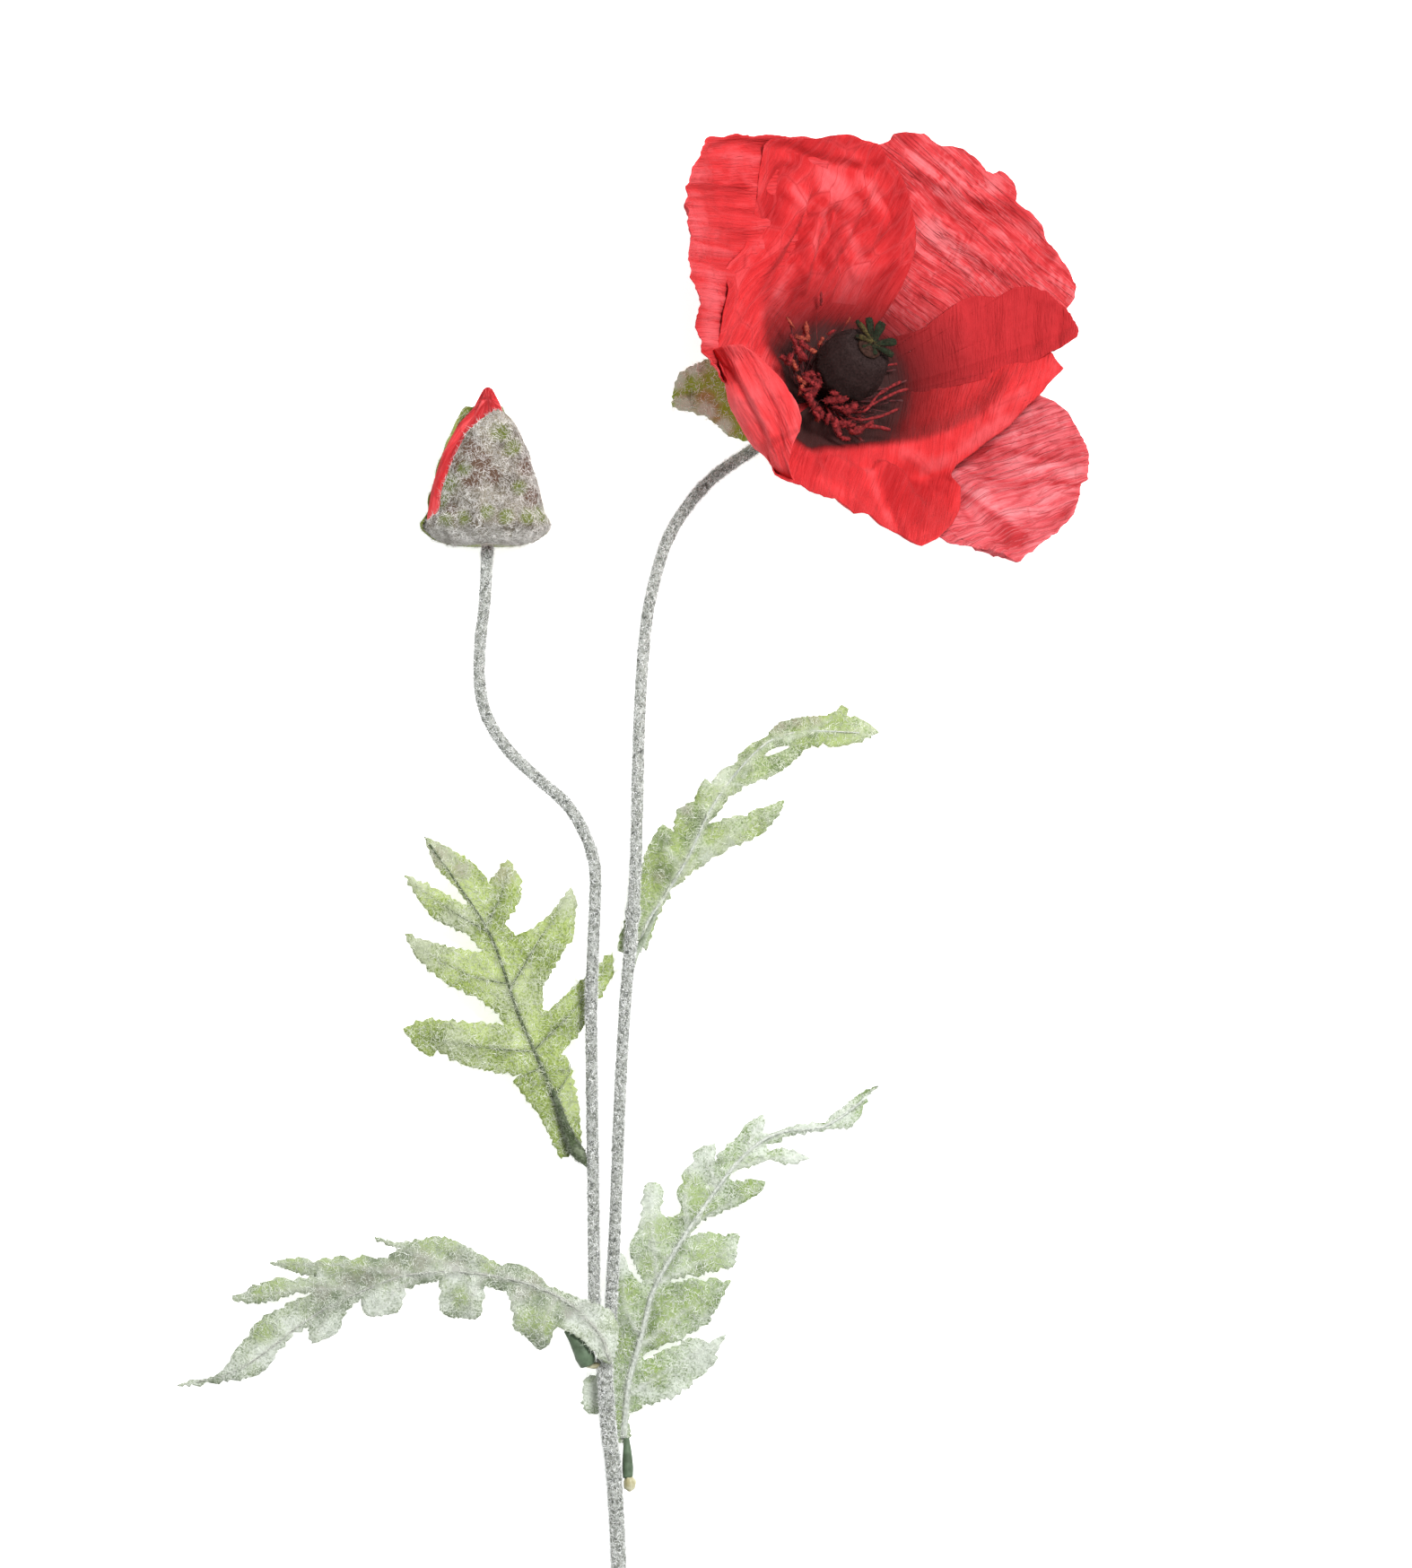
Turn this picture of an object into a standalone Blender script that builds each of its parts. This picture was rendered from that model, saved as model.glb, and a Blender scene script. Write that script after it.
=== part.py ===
"""An artificial corn poppy spray, lying on a table: one open bloom, one bud and four leaves on flocked stems.

+X is the spray's right, +Y runs from the cut end of the stem to the bloom, +Z is up from the table.
Every shape is written in millimetres from the fork, where the bloom's stem and the bud's stem part,
and an empty carries the whole spray so that the middle of its footprint is the origin.
"""

import math

import bmesh
import bpy
from mathutils import Vector
from mathutils.geometry import delaunay_2d_cdt

MM = 0.001
WELD = 0.00001

# Stems: half thickness, sides round, and where their middles run.
MAIN_STEM_RADIUS = 1.9
BRANCH_RADIUS = 1.5
STALK_RADIUS = 0.75
STEM_RINGS = 22
MAIN_STEM_ROUTE = [
    (3.2, -142, 1.95), (3.3, -100, 2.2), (2.4, -58, 3.2), (1.2, -36, 4.3), (0.2, -28, 4.7),
    (-0.6, -16, 5.4), (-1.2, -4, 6.0),
]
BLOOM_STEM_ROUTE = [
    (0.6, -3.7, 6.3), (0.8, 4, 6.5), (1.6, 20, 6.8), (2.6, 46, 7.2), (3.8, 68, 7.6), (5.2, 84, 7.9),
    (6.2, 102, 8), (7, 132, 7.8), (8.2, 150, 7.6), (9.8, 160, 7.6), (13, 171, 7.8),
    (17.6, 179, 8), (23.4, 185.4, 8.2), (30.4, 190.4, 8.8), (36, 194, 9.8), (40, 196.6, 11.4),
    (42.75, 198.75, 12.9),
]
BUD_STEM_ROUTE = [
    (-3.0, -3.7, 6.3), (-3.1, 4, 6.7), (-3.3, 26, 7.3), (-3.6, 50, 7.8), (-3.7, 70, 8.2), (-3, 88, 8.6),
    (-2.9, 98, 8.8), (-4.7, 105, 9), (-9, 112.4, 9.4), (-15.6, 118.4, 9.8), (-22.4, 125, 10.2),
    (-27, 132.4, 10.6), (-28.6, 140, 11), (-28.4, 149, 11.4), (-27.4, 158, 11.8), (-26.8, 170.2, 12.2),
]

# Leaf stalks, and the beads of glue that hold them to the stems.
STALK_ROUTES = {
    "leaf_stalk_left": [(-5.8, 30.4, 7.2), (-7.6, 33, 7.4), (-9, 37, 7.5), (-12.2, 48, 7.3)],
    "leaf_stalk_upper_right": [(7.7, 75, 7.7), (8.5, 79, 6.2), (9.6, 83, 5), (11, 87.4, 5.6)],
    "leaf_stalk_lower_left": [(-4.2, -11.4, 6), (-5.2, -9, 6.8), (-7.2, -5.8, 7.4)],
    "leaf_stalk_lower_right": [(4.5, -36.4, 4), (4.4, -33, 3.4), (4.3, -29.4, 2.9)],
}
GLUE_BEADS = {
    "glue_bead_left": ((-4.05, -13.4, 5.5), (1.15, 1.5, 1.1)),
    "glue_bead_right": ((4.8, -38.7, 4.1), (1.35, 1.8, 1.3)),
}

# The bloom: a bowl of petals about an axis that leans to the right, up the spray, and towards the viewer.
BLOOM_BASE = Vector((46, 202, 17))
BLOOM_AXIS = Vector((0.525, 0.525, 0.67)).normalized()
SEAT_RADIUS = 2.9
SEAT_HEIGHT = 0.55  # of the outermost petals above the receptacle
SEAT_STEP = 0.75  # from one layer of petals to the next at the seat
RIM_STEP = 1.5  # more than that at the rim
BELLY = 0.26
SHOULDER = 0.34
PETAL_THICKNESS = 0.45
PETAL_ROWS = 8
PETAL_COLUMNS = 11
CURL_RADIUS = 9.0
RIM = [
    (100.4, 209.6, 10), (104.8, 217, 5), (102.4, 223.4, 3), (104.4, 228, 2.6), (100.4, 235, 2),
    (94.4, 244, 1.6), (86, 253, 1.6), (74, 259.2, 2.2), (66.8, 262.4, 4), (52.4, 262, 9),
    (44.4, 261, 13), (32.4, 260.8, 21), (22.4, 258.8, 28), (18, 248, 38), (19.2, 230, 45),
    (20.2, 213.6, 47), (24.4, 208, 47), (28.4, 199.6, 47), (32.4, 192.6, 47), (40.4, 184, 50),
    (50.8, 180, 51), (59.4, 176, 49), (69.2, 169.8, 46), (80.4, 169, 41), (94.4, 170, 32),
    (104.8, 183, 23), (106.8, 191, 18), (102.4, 200, 14),
]
# name: (first angle, last angle, layer, (share of the way, reach) pairs, (share, curl in mm) pairs)
PETALS = {
    "petal_outer_top": (15, 87, 0, [(0, 0.86), (0.12, 0.99), (0.88, 1), (1, 0.9)], [(0, 0), (1, 0)]),
    "petal_outer_right": (-62, 12, 0, [(0, 0.8), (0.15, 0.97), (0.85, 1), (1, 0.86)], [(0, 0), (1, 0)]),
    "petal_outer_front": (
        141, 262, 0, [(0, 0.9), (0.15, 1), (0.85, 1), (1, 0.85)],
        [(0, 0), (0.15, 5), (0.4, 20), (0.62, 17), (0.82, 5), (1, 0)],
    ),
    "petal_outer_left": (84, 172, 1, [(0, 0.88), (0.15, 1.02), (0.85, 1.04), (1, 0.86)], [(0, 0), (1, 0)]),
    "petal_inner_top": (54, 127, 2, [(0, 0.66), (0.18, 0.94), (0.4, 1.06), (0.75, 1.06), (1, 0.84)], [(0, 0), (1, 0)]),
    "petal_inner_bottom": (
        -130, 10, 2,
        [(0, 0.9), (0.2, 1.05), (0.52, 1.07), (0.6, 0.94), (0.7, 0.68), (0.86, 0.66), (0.94, 0.86), (1, 1.02)],
        [(0, 0), (1, 0)],
    ),
    "petal_inner_right": (-4, 40, 3, [(0, 0.74), (0.3, 1.04), (0.6, 1.06), (1, 0.6)], [(0, 0), (1, 0)]),
}

# Turned pieces of the bloom: (radius, height above the bloom's base).
RECEPTACLE_PROFILE = [(0, -5.4), (2.2, -5.4), (3.2, -4), (4.2, -1.6), (4.4, 0), (0, 0)]
CAPSULE_PROFILE = [
    (0, 0.3), (2.4, 0.3), (2.4, 5), (4, 7.4), (6.4, 10.4), (7.8, 14), (7.2, 18), (6, 21), (5.4, 22.4), (0, 22.4),
]
STIGMA_PROFILE = [(0, 22.7), (6, 22.7), (6.2, 23.3), (5.4, 24.1), (0, 24.6)]
STIGMA_NOTCH = 0.8
STAMEN_PROFILE = [
    (3.2, 3.5), (6.4, 5.6), (9.6, 9), (12.4, 13.6), (13.6, 15.6), (13, 17), (11.4, 15), (8.6, 10.4), (3.2, 4.6),
]
TURNING_STEPS = 20
STAMEN_STEPS = 24

# The bud: a fat cone that lies on the table with its tip up the spray.
BUD_BASE = Vector((-26.8, 170.6, 12.6))
BUD_AXIS = Vector((0, 1, -0.06)).normalized()
BUD_LENGTH = 35.0
BUD_CORE_PROFILE = [
    (0, 0.4), (7, 0.4), (10.4, 2.4), (11.6, 6), (10.8, 13), (8.8, 20), (6.2, 26.4), (3.4, 31.6), (1.4, 34.4), (0, 35),
]
SEPAL_THICKNESS = 0.8
SEPAL_CLEARANCE = 1.05  # middle of a bud sepal from the core
# name: (share of the bud's length, first angle, last angle) from the base to the tip; 90 faces up
BUD_SEPALS = {
    "bud_sepal_front": [
        (0.065, 8, 172), (0.15, 5, 172), (0.32, 6, 160), (0.5, 12, 150), (0.7, 20, 128), (0.86, 30, 96),
    ],
    "bud_sepal_back": [
        (0.065, 187, 353), (0.15, 184, 355), (0.32, 184, 352), (0.5, 188, 346), (0.7, 196, 336), (0.84, 214, 318),
    ],
}
BUD_SEPAL_ROWS = 9
BUD_SEPAL_COLUMNS = 10

# Leaves and the bloom's sepals: outline seen from above, midrib (x, y, z), rise and droop away from the midrib.
BLADE_THICKNESS = 0.6
BLADE_CELL = 7.0
BLADES = {
    "leaf_left": {
        "outline": [
            (-41, 105.4), (-36.6, 103.6), (-27.6, 97), (-26.6, 95), (-22.6, 100.4), (-19.6, 96.4), (-19.4, 92),
            (-22, 86), (-20.6, 83.4), (-12.6, 88.4), (-8.4, 94.2), (-7.4, 84), (-14.6, 72), (-14.2, 66.6),
            (-8.6, 71), (0.8, 79.6), (1.2, 75), (-5.6, 63), (-10, 56.8), (-6.8, 46), (-6.6, 37), (-10.4, 34),
            (-15.6, 44), (-21.2, 51), (-19.6, 52.8), (-31.6, 54.4), (-42.6, 58.4), (-45.8, 62.6), (-40.6, 64.8),
            (-23.6, 64), (-35.6, 72.4), (-42.6, 78.4), (-45.4, 83.8), (-35.6, 80.8), (-27.4, 79.4), (-38.6, 87),
            (-45.4, 96.8), (-38.6, 94), (-30.6, 89.4), (-38.6, 99),
        ],
        "midrib": [
            (-8.4, 35, 5.6), (-12.2, 48, 5.5), (-19.6, 65, 5.2), (-26, 83, 4.8), (-33.6, 95, 4.2), (-41, 105.4, 3),
        ],
        "rise": -0.05,
        "droop": -0.0035,
    },
    "leaf_lower_left": {
        "outline": [
            (0.8, -11), (2.4, -2), (1.2, 3.6), (-7.6, 4.4), (-15.6, 8.8), (-20.6, 10.6), (-27.6, 12), (-35.6, 16),
            (-44.6, 14.6), (-52, 16.4), (-49.2, 12.4), (-67.6, 11.6), (-75.6, 10.6), (-67.6, 7.4), (-84, 2.4),
            (-69.6, 2.4), (-75.6, -4), (-85.6, -11), (-96, -16.6), (-84.6, -15.4), (-72, -8), (-66, -7.4),
            (-56, 1), (-50.6, -1.6), (-44.6, 5), (-38.4, 5.4), (-36, -1), (-28.6, -1.8), (-26.4, 5),
            (-23.6, 3.6), (-21, -3), (-15.6, -8.4), (-10, -2.6), (-7, -3.6), (-2.6, -8.8),
        ],
        "midrib": [
            (0.4, -11, 9.2), (-2.6, -6, 9.2), (-5.6, -2, 9.3), (-15.6, 4.6, 9.5), (-26.6, 8.4, 9.2),
            (-43.6, 8, 8), (-59.6, 3.6, 5.6), (-71.6, -3, 3.4), (-84.6, -13, 1.8), (-96, -16.6, 1),
        ],
        "rise": 0.0,
        "droop": -0.012,
    },
    "leaf_lower_right": {
        "outline": [
            (5, -29.2), (4.4, -22.6), (11.8, -20.8), (16, -19.4), (21.8, -14.4), (24, -11), (24.6, -8),
            (26.2, -5.6), (19.4, -6.6), (11.4, -10), (8, -11.8), (8.4, -9.4), (16.8, -6.2), (23, -2.8), (24.6, 0),
            (27.4, 6.8), (22.4, 7.4), (17.4, 5.8), (12.8, 6.4), (17.4, 7.8), (24.4, 8.4), (27.8, 9.4), (29.2, 17),
            (20.4, 17.2), (17.6, 15.6), (20.6, 20.4), (28.4, 24.2), (33.4, 26.4), (35, 28.6), (26.8, 28.8),
            (28, 30.8), (35.6, 32.6), (40.4, 32.6), (44.8, 34), (41.4, 35.4), (35, 36.4), (42.4, 39.4),
            (54.4, 40.6), (57.8, 46), (60, 49.6), (56, 47.8), (48.6, 42), (42.4, 41), (35, 39.6), (34.4, 43.4),
            (32, 42.2), (24.8, 35.4), (23.8, 37.6), (21, 35.8), (15.8, 29.4), (15.4, 25.6), (16.6, 22),
            (12.8, 20.6), (12, 22), (12.6, 24.4), (11.4, 28), (8.8, 28.4), (7.2, 24.8), (8, 20), (7, 16.4),
            (4.6, 14.4), (5.6, 10.4), (7.6, 6.2), (5, 8.2), (2.4, 12.4), (1.8, 2), (1.8, -6), (-0.4, -14.4),
            (-4.6, -16), (-5.6, -22), (-2.8, -23.2), (1.2, -23.6), (2.2, -28.8),
        ],
        "midrib": [
            (3.8, -28.6, 1.9), (4.4, -20, 1.6), (7.4, -8, 1.8), (11.4, 7, 2.8), (18.4, 18, 3.8), (24.4, 28, 4.2),
            (32.4, 35, 3.8), (43, 40.4, 2.8), (51.4, 42, 2), (60, 49.4, 1.2),
        ],
        "rise": 0.0,
        "droop": -0.002,
    },
    "leaf_upper_right": {
        "outline": [
            (7, 79.6), (3, 80.4), (2.4, 84), (3.6, 88), (6.8, 95), (7.8, 100), (12, 107.6), (15, 110), (22.4, 118),
            (30.4, 125), (40.4, 131.4), (52, 134.8), (60.4, 128.4), (44.4, 125), (34.4, 118.4), (24.4, 111),
            (39.2, 113.6), (36.8, 109), (31.4, 104.6), (17.4, 97), (11.4, 88), (8.8, 80),
        ],
        "midrib": [
            (7.4, 79.6, 3.9), (8, 84, 3.9), (11.4, 91, 4.9), (17.4, 102, 8.6), (24.4, 113, 12), (32.4, 122, 13),
            (44.4, 129, 10), (60.4, 128.4, 5),
        ],
        "rise": -0.2,
        "droop": 0.0,
    },
    "bloom_sepal_left": {
        "outline": [
            (14.4, 201), (14.4, 204), (17.4, 209.6), (22.4, 211.8), (31, 210), (37.6, 205.6), (40.7, 202),
            (40.3, 200), (37.6, 196.8), (33, 192.8), (26.8, 194.6), (21.4, 199.2), (17.4, 200.2),
        ],
        "midrib": [(40.6, 201, 15.9), (33, 201.4, 14), (24, 203, 13), (14.4, 202.4, 14)],
        "rise": 0.0,
        "droop": 0.012,
    },
    "bloom_sepal_right": {
        "outline": [
            (47.6, 197.6), (51, 197.2), (58, 194.4), (65, 189), (69, 180), (61, 181.6), (53.6, 185.6),
            (49, 191.4), (47.0, 196.2),
        ],
        "midrib": [(47.4, 196.8, 14.2), (54, 191, 12.6), (62, 185, 12.2), (69, 180, 13)],
        "rise": 0.0,
        "droop": 0.012,
    },
}

# Materials: colour, roughness.
MATERIALS = {
    "flocked_stem": ((0.50, 0.51, 0.48), 0.95),
    "green_plastic": ((0.16, 0.22, 0.13), 0.55),
    "dried_glue": ((0.62, 0.62, 0.44), 0.45),
    "petal_crepe": ((0.68, 0.05, 0.05), 0.8),
    "capsule_velvet": ((0.05, 0.03, 0.03), 0.9),
    "stigma_velvet": ((0.06, 0.07, 0.03), 0.9),
    "stamen_thread": ((0.12, 0.02, 0.02), 0.8),
    "bud_crepe": ((0.60, 0.07, 0.06), 0.8),
    "bud_sepal_flock": ((0.34, 0.31, 0.24), 0.95),
    "bloom_sepal_flock": ((0.34, 0.30, 0.17), 0.95),
    "leaf_flock": ((0.42, 0.50, 0.26), 0.95),
}
BLADE_MATERIALS = {"bloom_sepal_left": "bloom_sepal_flock", "bloom_sepal_right": "bloom_sepal_flock"}


def curve_point(points, share):
    """A point of the smooth curve through these points, share 0 to 1 from the first to the last."""
    points = [Vector(p) for p in points]
    place = min(max(share, 0.0), 1.0) * (len(points) - 1)
    i = min(int(place), len(points) - 2)
    a = points[i - 1] if i else 2 * points[0] - points[1]
    d = points[i + 2] if i + 2 < len(points) else 2 * points[-1] - points[-2]
    return blend(a, points[i], points[i + 1], d, place - i)


def blend(a, b, c, d, u):
    """Catmull-Rom between b and c."""
    return 0.5 * (2 * b + (c - a) * u + (2 * a - 5 * b + 4 * c - d) * u ** 2 + (3 * b - a - 3 * c + d) * u ** 3)


def read_off(pairs, share):
    """A value read off a row of pairs whose first members rise, straight between one and the next."""
    for (x0, *y0), (x1, *y1) in zip(pairs, pairs[1:]):
        if share <= x1:
            break
    u = min(max((share - x0) / (x1 - x0), 0.0), 1.0)
    values = [a + (b - a) * u for a, b in zip(y0, y1)]
    return values if len(values) > 1 else values[0]


def make_material(name):
    colour, roughness = MATERIALS[name]
    material = bpy.data.materials.new(name)
    material.use_nodes = True
    shader = material.node_tree.nodes["Principled BSDF"]
    shader.inputs["Base Color"].default_value = (*colour, 1)
    shader.inputs["Roughness"].default_value = roughness
    shader.inputs["Metallic"].default_value = 0
    return material


def add_piece(name, data, material, parent):
    """An object made of this mesh or curve, in the spray's collection and carried by its empty."""
    data.materials.append(material)
    piece = bpy.data.objects.new(name, data)
    parent.users_collection[0].objects.link(piece)
    piece.parent = parent
    return piece


def mesh_from(name, working, smooth=True):
    """A mesh in metres from a working mesh in millimetres."""
    bmesh.ops.scale(working, vec=(MM, MM, MM), verts=working.verts)
    for face in working.faces:
        face.smooth = smooth
    mesh = bpy.data.meshes.new(name)
    working.to_mesh(mesh)
    working.free()
    return mesh


def thicken(piece, thickness):
    solid = piece.modifiers.new("Thickness", "SOLIDIFY")
    solid.thickness = thickness * MM
    solid.offset = 0


def stem(name, route, radius, rings, material, parent):
    """A round stem along a route, closed at both ends."""
    curve = bpy.data.curves.new(name, "CURVE")
    curve.dimensions = "3D"
    curve.bevel_depth = radius * MM
    curve.bevel_resolution = 2
    curve.use_fill_caps = True
    path = curve.splines.new("POLY")
    path.points.add(rings - 1)
    for i, point in enumerate(path.points):
        point.co = (*curve_point(route, i / (rings - 1)) * MM, 1)
    path.use_smooth = True
    return add_piece(name, curve, material, parent)


def bead(name, centre, half_sizes, material, parent):
    working = bmesh.new()
    bmesh.ops.create_icosphere(working, subdivisions=2, radius=1)
    for vertex in working.verts:
        vertex.co = Vector(centre) + Vector(a * b for a, b in zip(vertex.co, half_sizes))
    return add_piece(name, mesh_from(name, working), material, parent)


def turned(name, profile, base, axis, steps, material, parent):
    """A piece turned about an axis from a profile of (radius, height) points."""
    working = bmesh.new()
    corners = [working.verts.new((radius, 0, height)) for radius, height in profile]
    for a, b in zip(corners, corners[1:]):
        working.edges.new((a, b))
    if profile[0][0] > 0:
        working.edges.new((corners[-1], corners[0]))
    bmesh.ops.spin(
        working, geom=working.verts[:] + working.edges[:], axis=(0, 0, 1), cent=(0, 0, 0),
        angle=math.tau, steps=steps, use_merge=False,
    )
    bmesh.ops.remove_doubles(working, verts=working.verts, dist=WELD / MM)
    bmesh.ops.recalc_face_normals(working, faces=working.faces)
    turn = axis.to_track_quat("Z", "Y")
    for vertex in working.verts:
        vertex.co = base + turn @ vertex.co
    return add_piece(name, mesh_from(name, working), material, parent)


def notch_stigma(piece):
    """Draw in every other corner round the rim, which leaves the stigma's rays standing."""
    for vertex in piece.data.vertices:
        arm = vertex.co / MM - BLOOM_BASE
        out = arm - BLOOM_AXIS * arm.dot(BLOOM_AXIS)
        side = BLOOM_AXIS.orthogonal().normalized()
        angle = math.atan2(out.dot(BLOOM_AXIS.cross(side)), out.dot(side))
        step = round(angle / math.tau * TURNING_STEPS)
        if out.length > 1 and step % 2:
            vertex.co -= out.normalized() * STIGMA_NOTCH * MM


def heading(point):
    """Degrees from +X, as seen from above, of a rim point from the bloom's base."""
    return math.degrees(math.atan2(point[1] - BLOOM_BASE.y, point[0] - BLOOM_BASE.x))


def rim_point(angle):
    """The bowl's rim at this heading."""
    count = len(RIM)
    start = heading(RIM[0])
    turns = [(heading(p) - start) % 360 for p in RIM] + [360]
    turn = (angle - start) % 360
    i = max(k for k in range(count) if turns[k] <= turn)
    u = (turn - turns[i]) / (turns[i + 1] - turns[i])
    return blend(*(Vector(RIM[(i + k) % count]) for k in (-1, 0, 1, 2)), u)


def bowl_point(angle, share):
    """A point of the bowl: from its seat to its rim, first along the base and then up the wall."""
    rim = rim_point(angle)
    arm = rim - BLOOM_BASE
    out = (arm - BLOOM_AXIS * arm.dot(BLOOM_AXIS)).normalized()
    seat = BLOOM_BASE + out * SEAT_RADIUS + BLOOM_AXIS * SEAT_HEIGHT
    length = (rim - seat).length
    belly = seat + out * length * BELLY
    shoulder = rim - (out + BLOOM_AXIS).normalized() * length * SHOULDER
    back = 1 - share
    return (
        seat * back ** 3 + belly * 3 * back ** 2 * share + shoulder * 3 * back * share ** 2 + rim * share ** 3
    )


def bowl_inward(angle, share):
    """The bowl's own normal, which faces its opening."""
    along = bowl_point(angle, share + 0.01) - bowl_point(angle, share - 0.01)
    round_about = bowl_point(angle + 0.5, share) - bowl_point(angle - 0.5, share)
    return along.cross(round_about).normalized()


def petal_point(angle, share, layer, curl):
    """A point of a petal; past the rim, a curl carries it over towards the bowl's middle."""
    inward = bowl_inward(angle, share)
    point = bowl_point(angle, share) + inward * layer * (SEAT_STEP + RIM_STEP * share)
    if curl > 0:
        along = (bowl_point(angle, share) - bowl_point(angle, share - 0.02)).normalized()
        bend = curl / CURL_RADIUS
        point += along * CURL_RADIUS * math.sin(bend) + inward * CURL_RADIUS * (1 - math.cos(bend))
    return point


def petal(name, material, parent):
    """A petal: a grid from the seat to the rim, wrapped on its layer of the bowl and given a thickness."""
    first, last, layer, reaches, curls = PETALS[name]
    most_curl = max(curl for _, curl in curls)
    rows = PETAL_ROWS + (5 if most_curl else 0)
    flat_rows = PETAL_ROWS / rows if most_curl else 1.0
    working = bmesh.new()
    bmesh.ops.create_grid(working, x_segments=PETAL_COLUMNS, y_segments=rows, size=0.5)
    for vertex in working.verts:
        across, along = vertex.co.x + 0.5, vertex.co.y + 0.5
        angle = first + (last - first) * across
        share = min(along / flat_rows, 1.0) * read_off(reaches, across)
        over = max(along - flat_rows, 0.0) / (1 - flat_rows) if most_curl else 0.0
        vertex.co = petal_point(angle, share, layer, over * read_off(curls, across))
    bmesh.ops.remove_doubles(working, verts=working.verts, dist=0.05)
    thicken(add_piece(name, mesh_from(name, working), material, parent), PETAL_THICKNESS)


def bud_point(share, angle):
    """A point just outside the bud's core: how far up it, and which way round (90 faces up)."""
    heights = [(height, radius) for radius, height in BUD_CORE_PROFILE[1:]]
    radius = read_off(heights, share * BUD_LENGTH) + SEPAL_CLEARANCE
    side = Vector((1, 0, 0))
    up = side.cross(BUD_AXIS)
    turn = math.radians(angle)
    return BUD_BASE + BUD_AXIS * share * BUD_LENGTH + (side * math.cos(turn) + up * math.sin(turn)) * radius


def bud_sepal(name, material, parent):
    spans = BUD_SEPALS[name]
    first_share, last_share = spans[0][0], spans[-1][0]
    working = bmesh.new()
    bmesh.ops.create_grid(working, x_segments=BUD_SEPAL_COLUMNS, y_segments=BUD_SEPAL_ROWS, size=0.5)
    for vertex in working.verts:
        share = first_share + (last_share - first_share) * (vertex.co.y + 0.5)
        first, last = read_off(spans, share)
        vertex.co = bud_point(share, first + (last - first) * (vertex.co.x + 0.5))
    thicken(add_piece(name, mesh_from(name, working), material, parent), SEPAL_THICKNESS)


def nearest_on_midrib(midrib, x, y):
    """The midrib's height nearest a place, and the signed distance to it, right of the midrib positive."""
    best = None
    for a, b in zip(midrib, midrib[1:]):
        run = Vector(b[:2]) - Vector(a[:2])
        arm = Vector((x, y)) - Vector(a[:2])
        u = min(max(arm.dot(run) / run.length_squared, 0.0), 1.0)
        gap = (arm - run * u).length
        if best is None or gap < best[0]:
            side = 1 if arm.x * run.y - arm.y * run.x > 0 else -1
            best = (gap, a[2] + (b[2] - a[2]) * u, side)
    return best[1], best[0] * best[2]


def blade_height(blade, x, y):
    height, away = nearest_on_midrib(blade["midrib"], x, y)
    return height + blade["rise"] * away + blade["droop"] * away ** 2


def inside(outline, x, y):
    """Whether a place is inside an outline."""
    crossings = 0
    for (x0, y0), (x1, y1) in zip(outline, outline[1:] + outline[:1]):
        if (y0 > y) != (y1 > y) and x < x0 + (y - y0) * (x1 - x0) / (y1 - y0):
            crossings += 1
    return crossings % 2 == 1


def inner_places(outline, cell):
    """Places of a slanted grid well inside the outline, so that the blade can bend between its edges."""
    places = []
    low_x = min(x for x, _ in outline)
    high_x = max(x for x, _ in outline)
    low_y = min(y for _, y in outline)
    high_y = max(y for _, y in outline)
    for row in range(int((high_y - low_y) / cell) + 1):
        for column in range(int((high_x - low_x) / cell) + 2):
            x = low_x + (column + 0.5 * (row % 2)) * cell
            y = low_y + (row + 0.5) * cell
            if inside(outline, x, y) and edge_distance(outline, x, y) > cell * 0.3:
                places.append((x, y))
    return places


def edge_distance(outline, x, y):
    least = None
    for a, b in zip(outline, outline[1:] + outline[:1]):
        run = Vector(b) - Vector(a)
        arm = Vector((x, y)) - Vector(a)
        u = min(max(arm.dot(run) / run.length_squared, 0.0), 1.0)
        gap = (arm - run * u).length
        least = gap if least is None else min(least, gap)
    return least


def blade(name, material, parent):
    """A leaf or sepal: its outline filled with triangles, bent along its midrib and given a thickness."""
    shape = BLADES[name]
    outline = shape["outline"]
    places = [Vector(p) for p in outline + inner_places(outline, BLADE_CELL)]
    count = len(outline)
    edges = [(i, (i + 1) % count) for i in range(count)]
    filled = delaunay_2d_cdt(places, edges, [list(range(count))], 1, 1e-5)
    working = bmesh.new()
    corners = [working.verts.new((p.x, p.y, blade_height(shape, p.x, p.y))) for p in filled[0]]
    for face in filled[2]:
        working.faces.new([corners[i] for i in face])
    bmesh.ops.recalc_face_normals(working, faces=working.faces)
    if sum(face.normal.z for face in working.faces) < 0:
        bmesh.ops.reverse_faces(working, faces=working.faces)
    thicken(add_piece(name, mesh_from(name, working), material, parent), BLADE_THICKNESS)


def make_stems(materials, parent):
    flock = materials["flocked_stem"]
    stem("main_stem", MAIN_STEM_ROUTE, MAIN_STEM_RADIUS, STEM_RINGS // 2, flock, parent)
    stem("bloom_stem", BLOOM_STEM_ROUTE, BRANCH_RADIUS, STEM_RINGS, flock, parent)
    stem("bud_stem", BUD_STEM_ROUTE, BRANCH_RADIUS, STEM_RINGS, flock, parent)
    for name, route in STALK_ROUTES.items():
        stem(name, route, STALK_RADIUS, 6, materials["green_plastic"], parent)
    for name, (centre, half_sizes) in GLUE_BEADS.items():
        bead(name, centre, half_sizes, materials["dried_glue"], parent)


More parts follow.
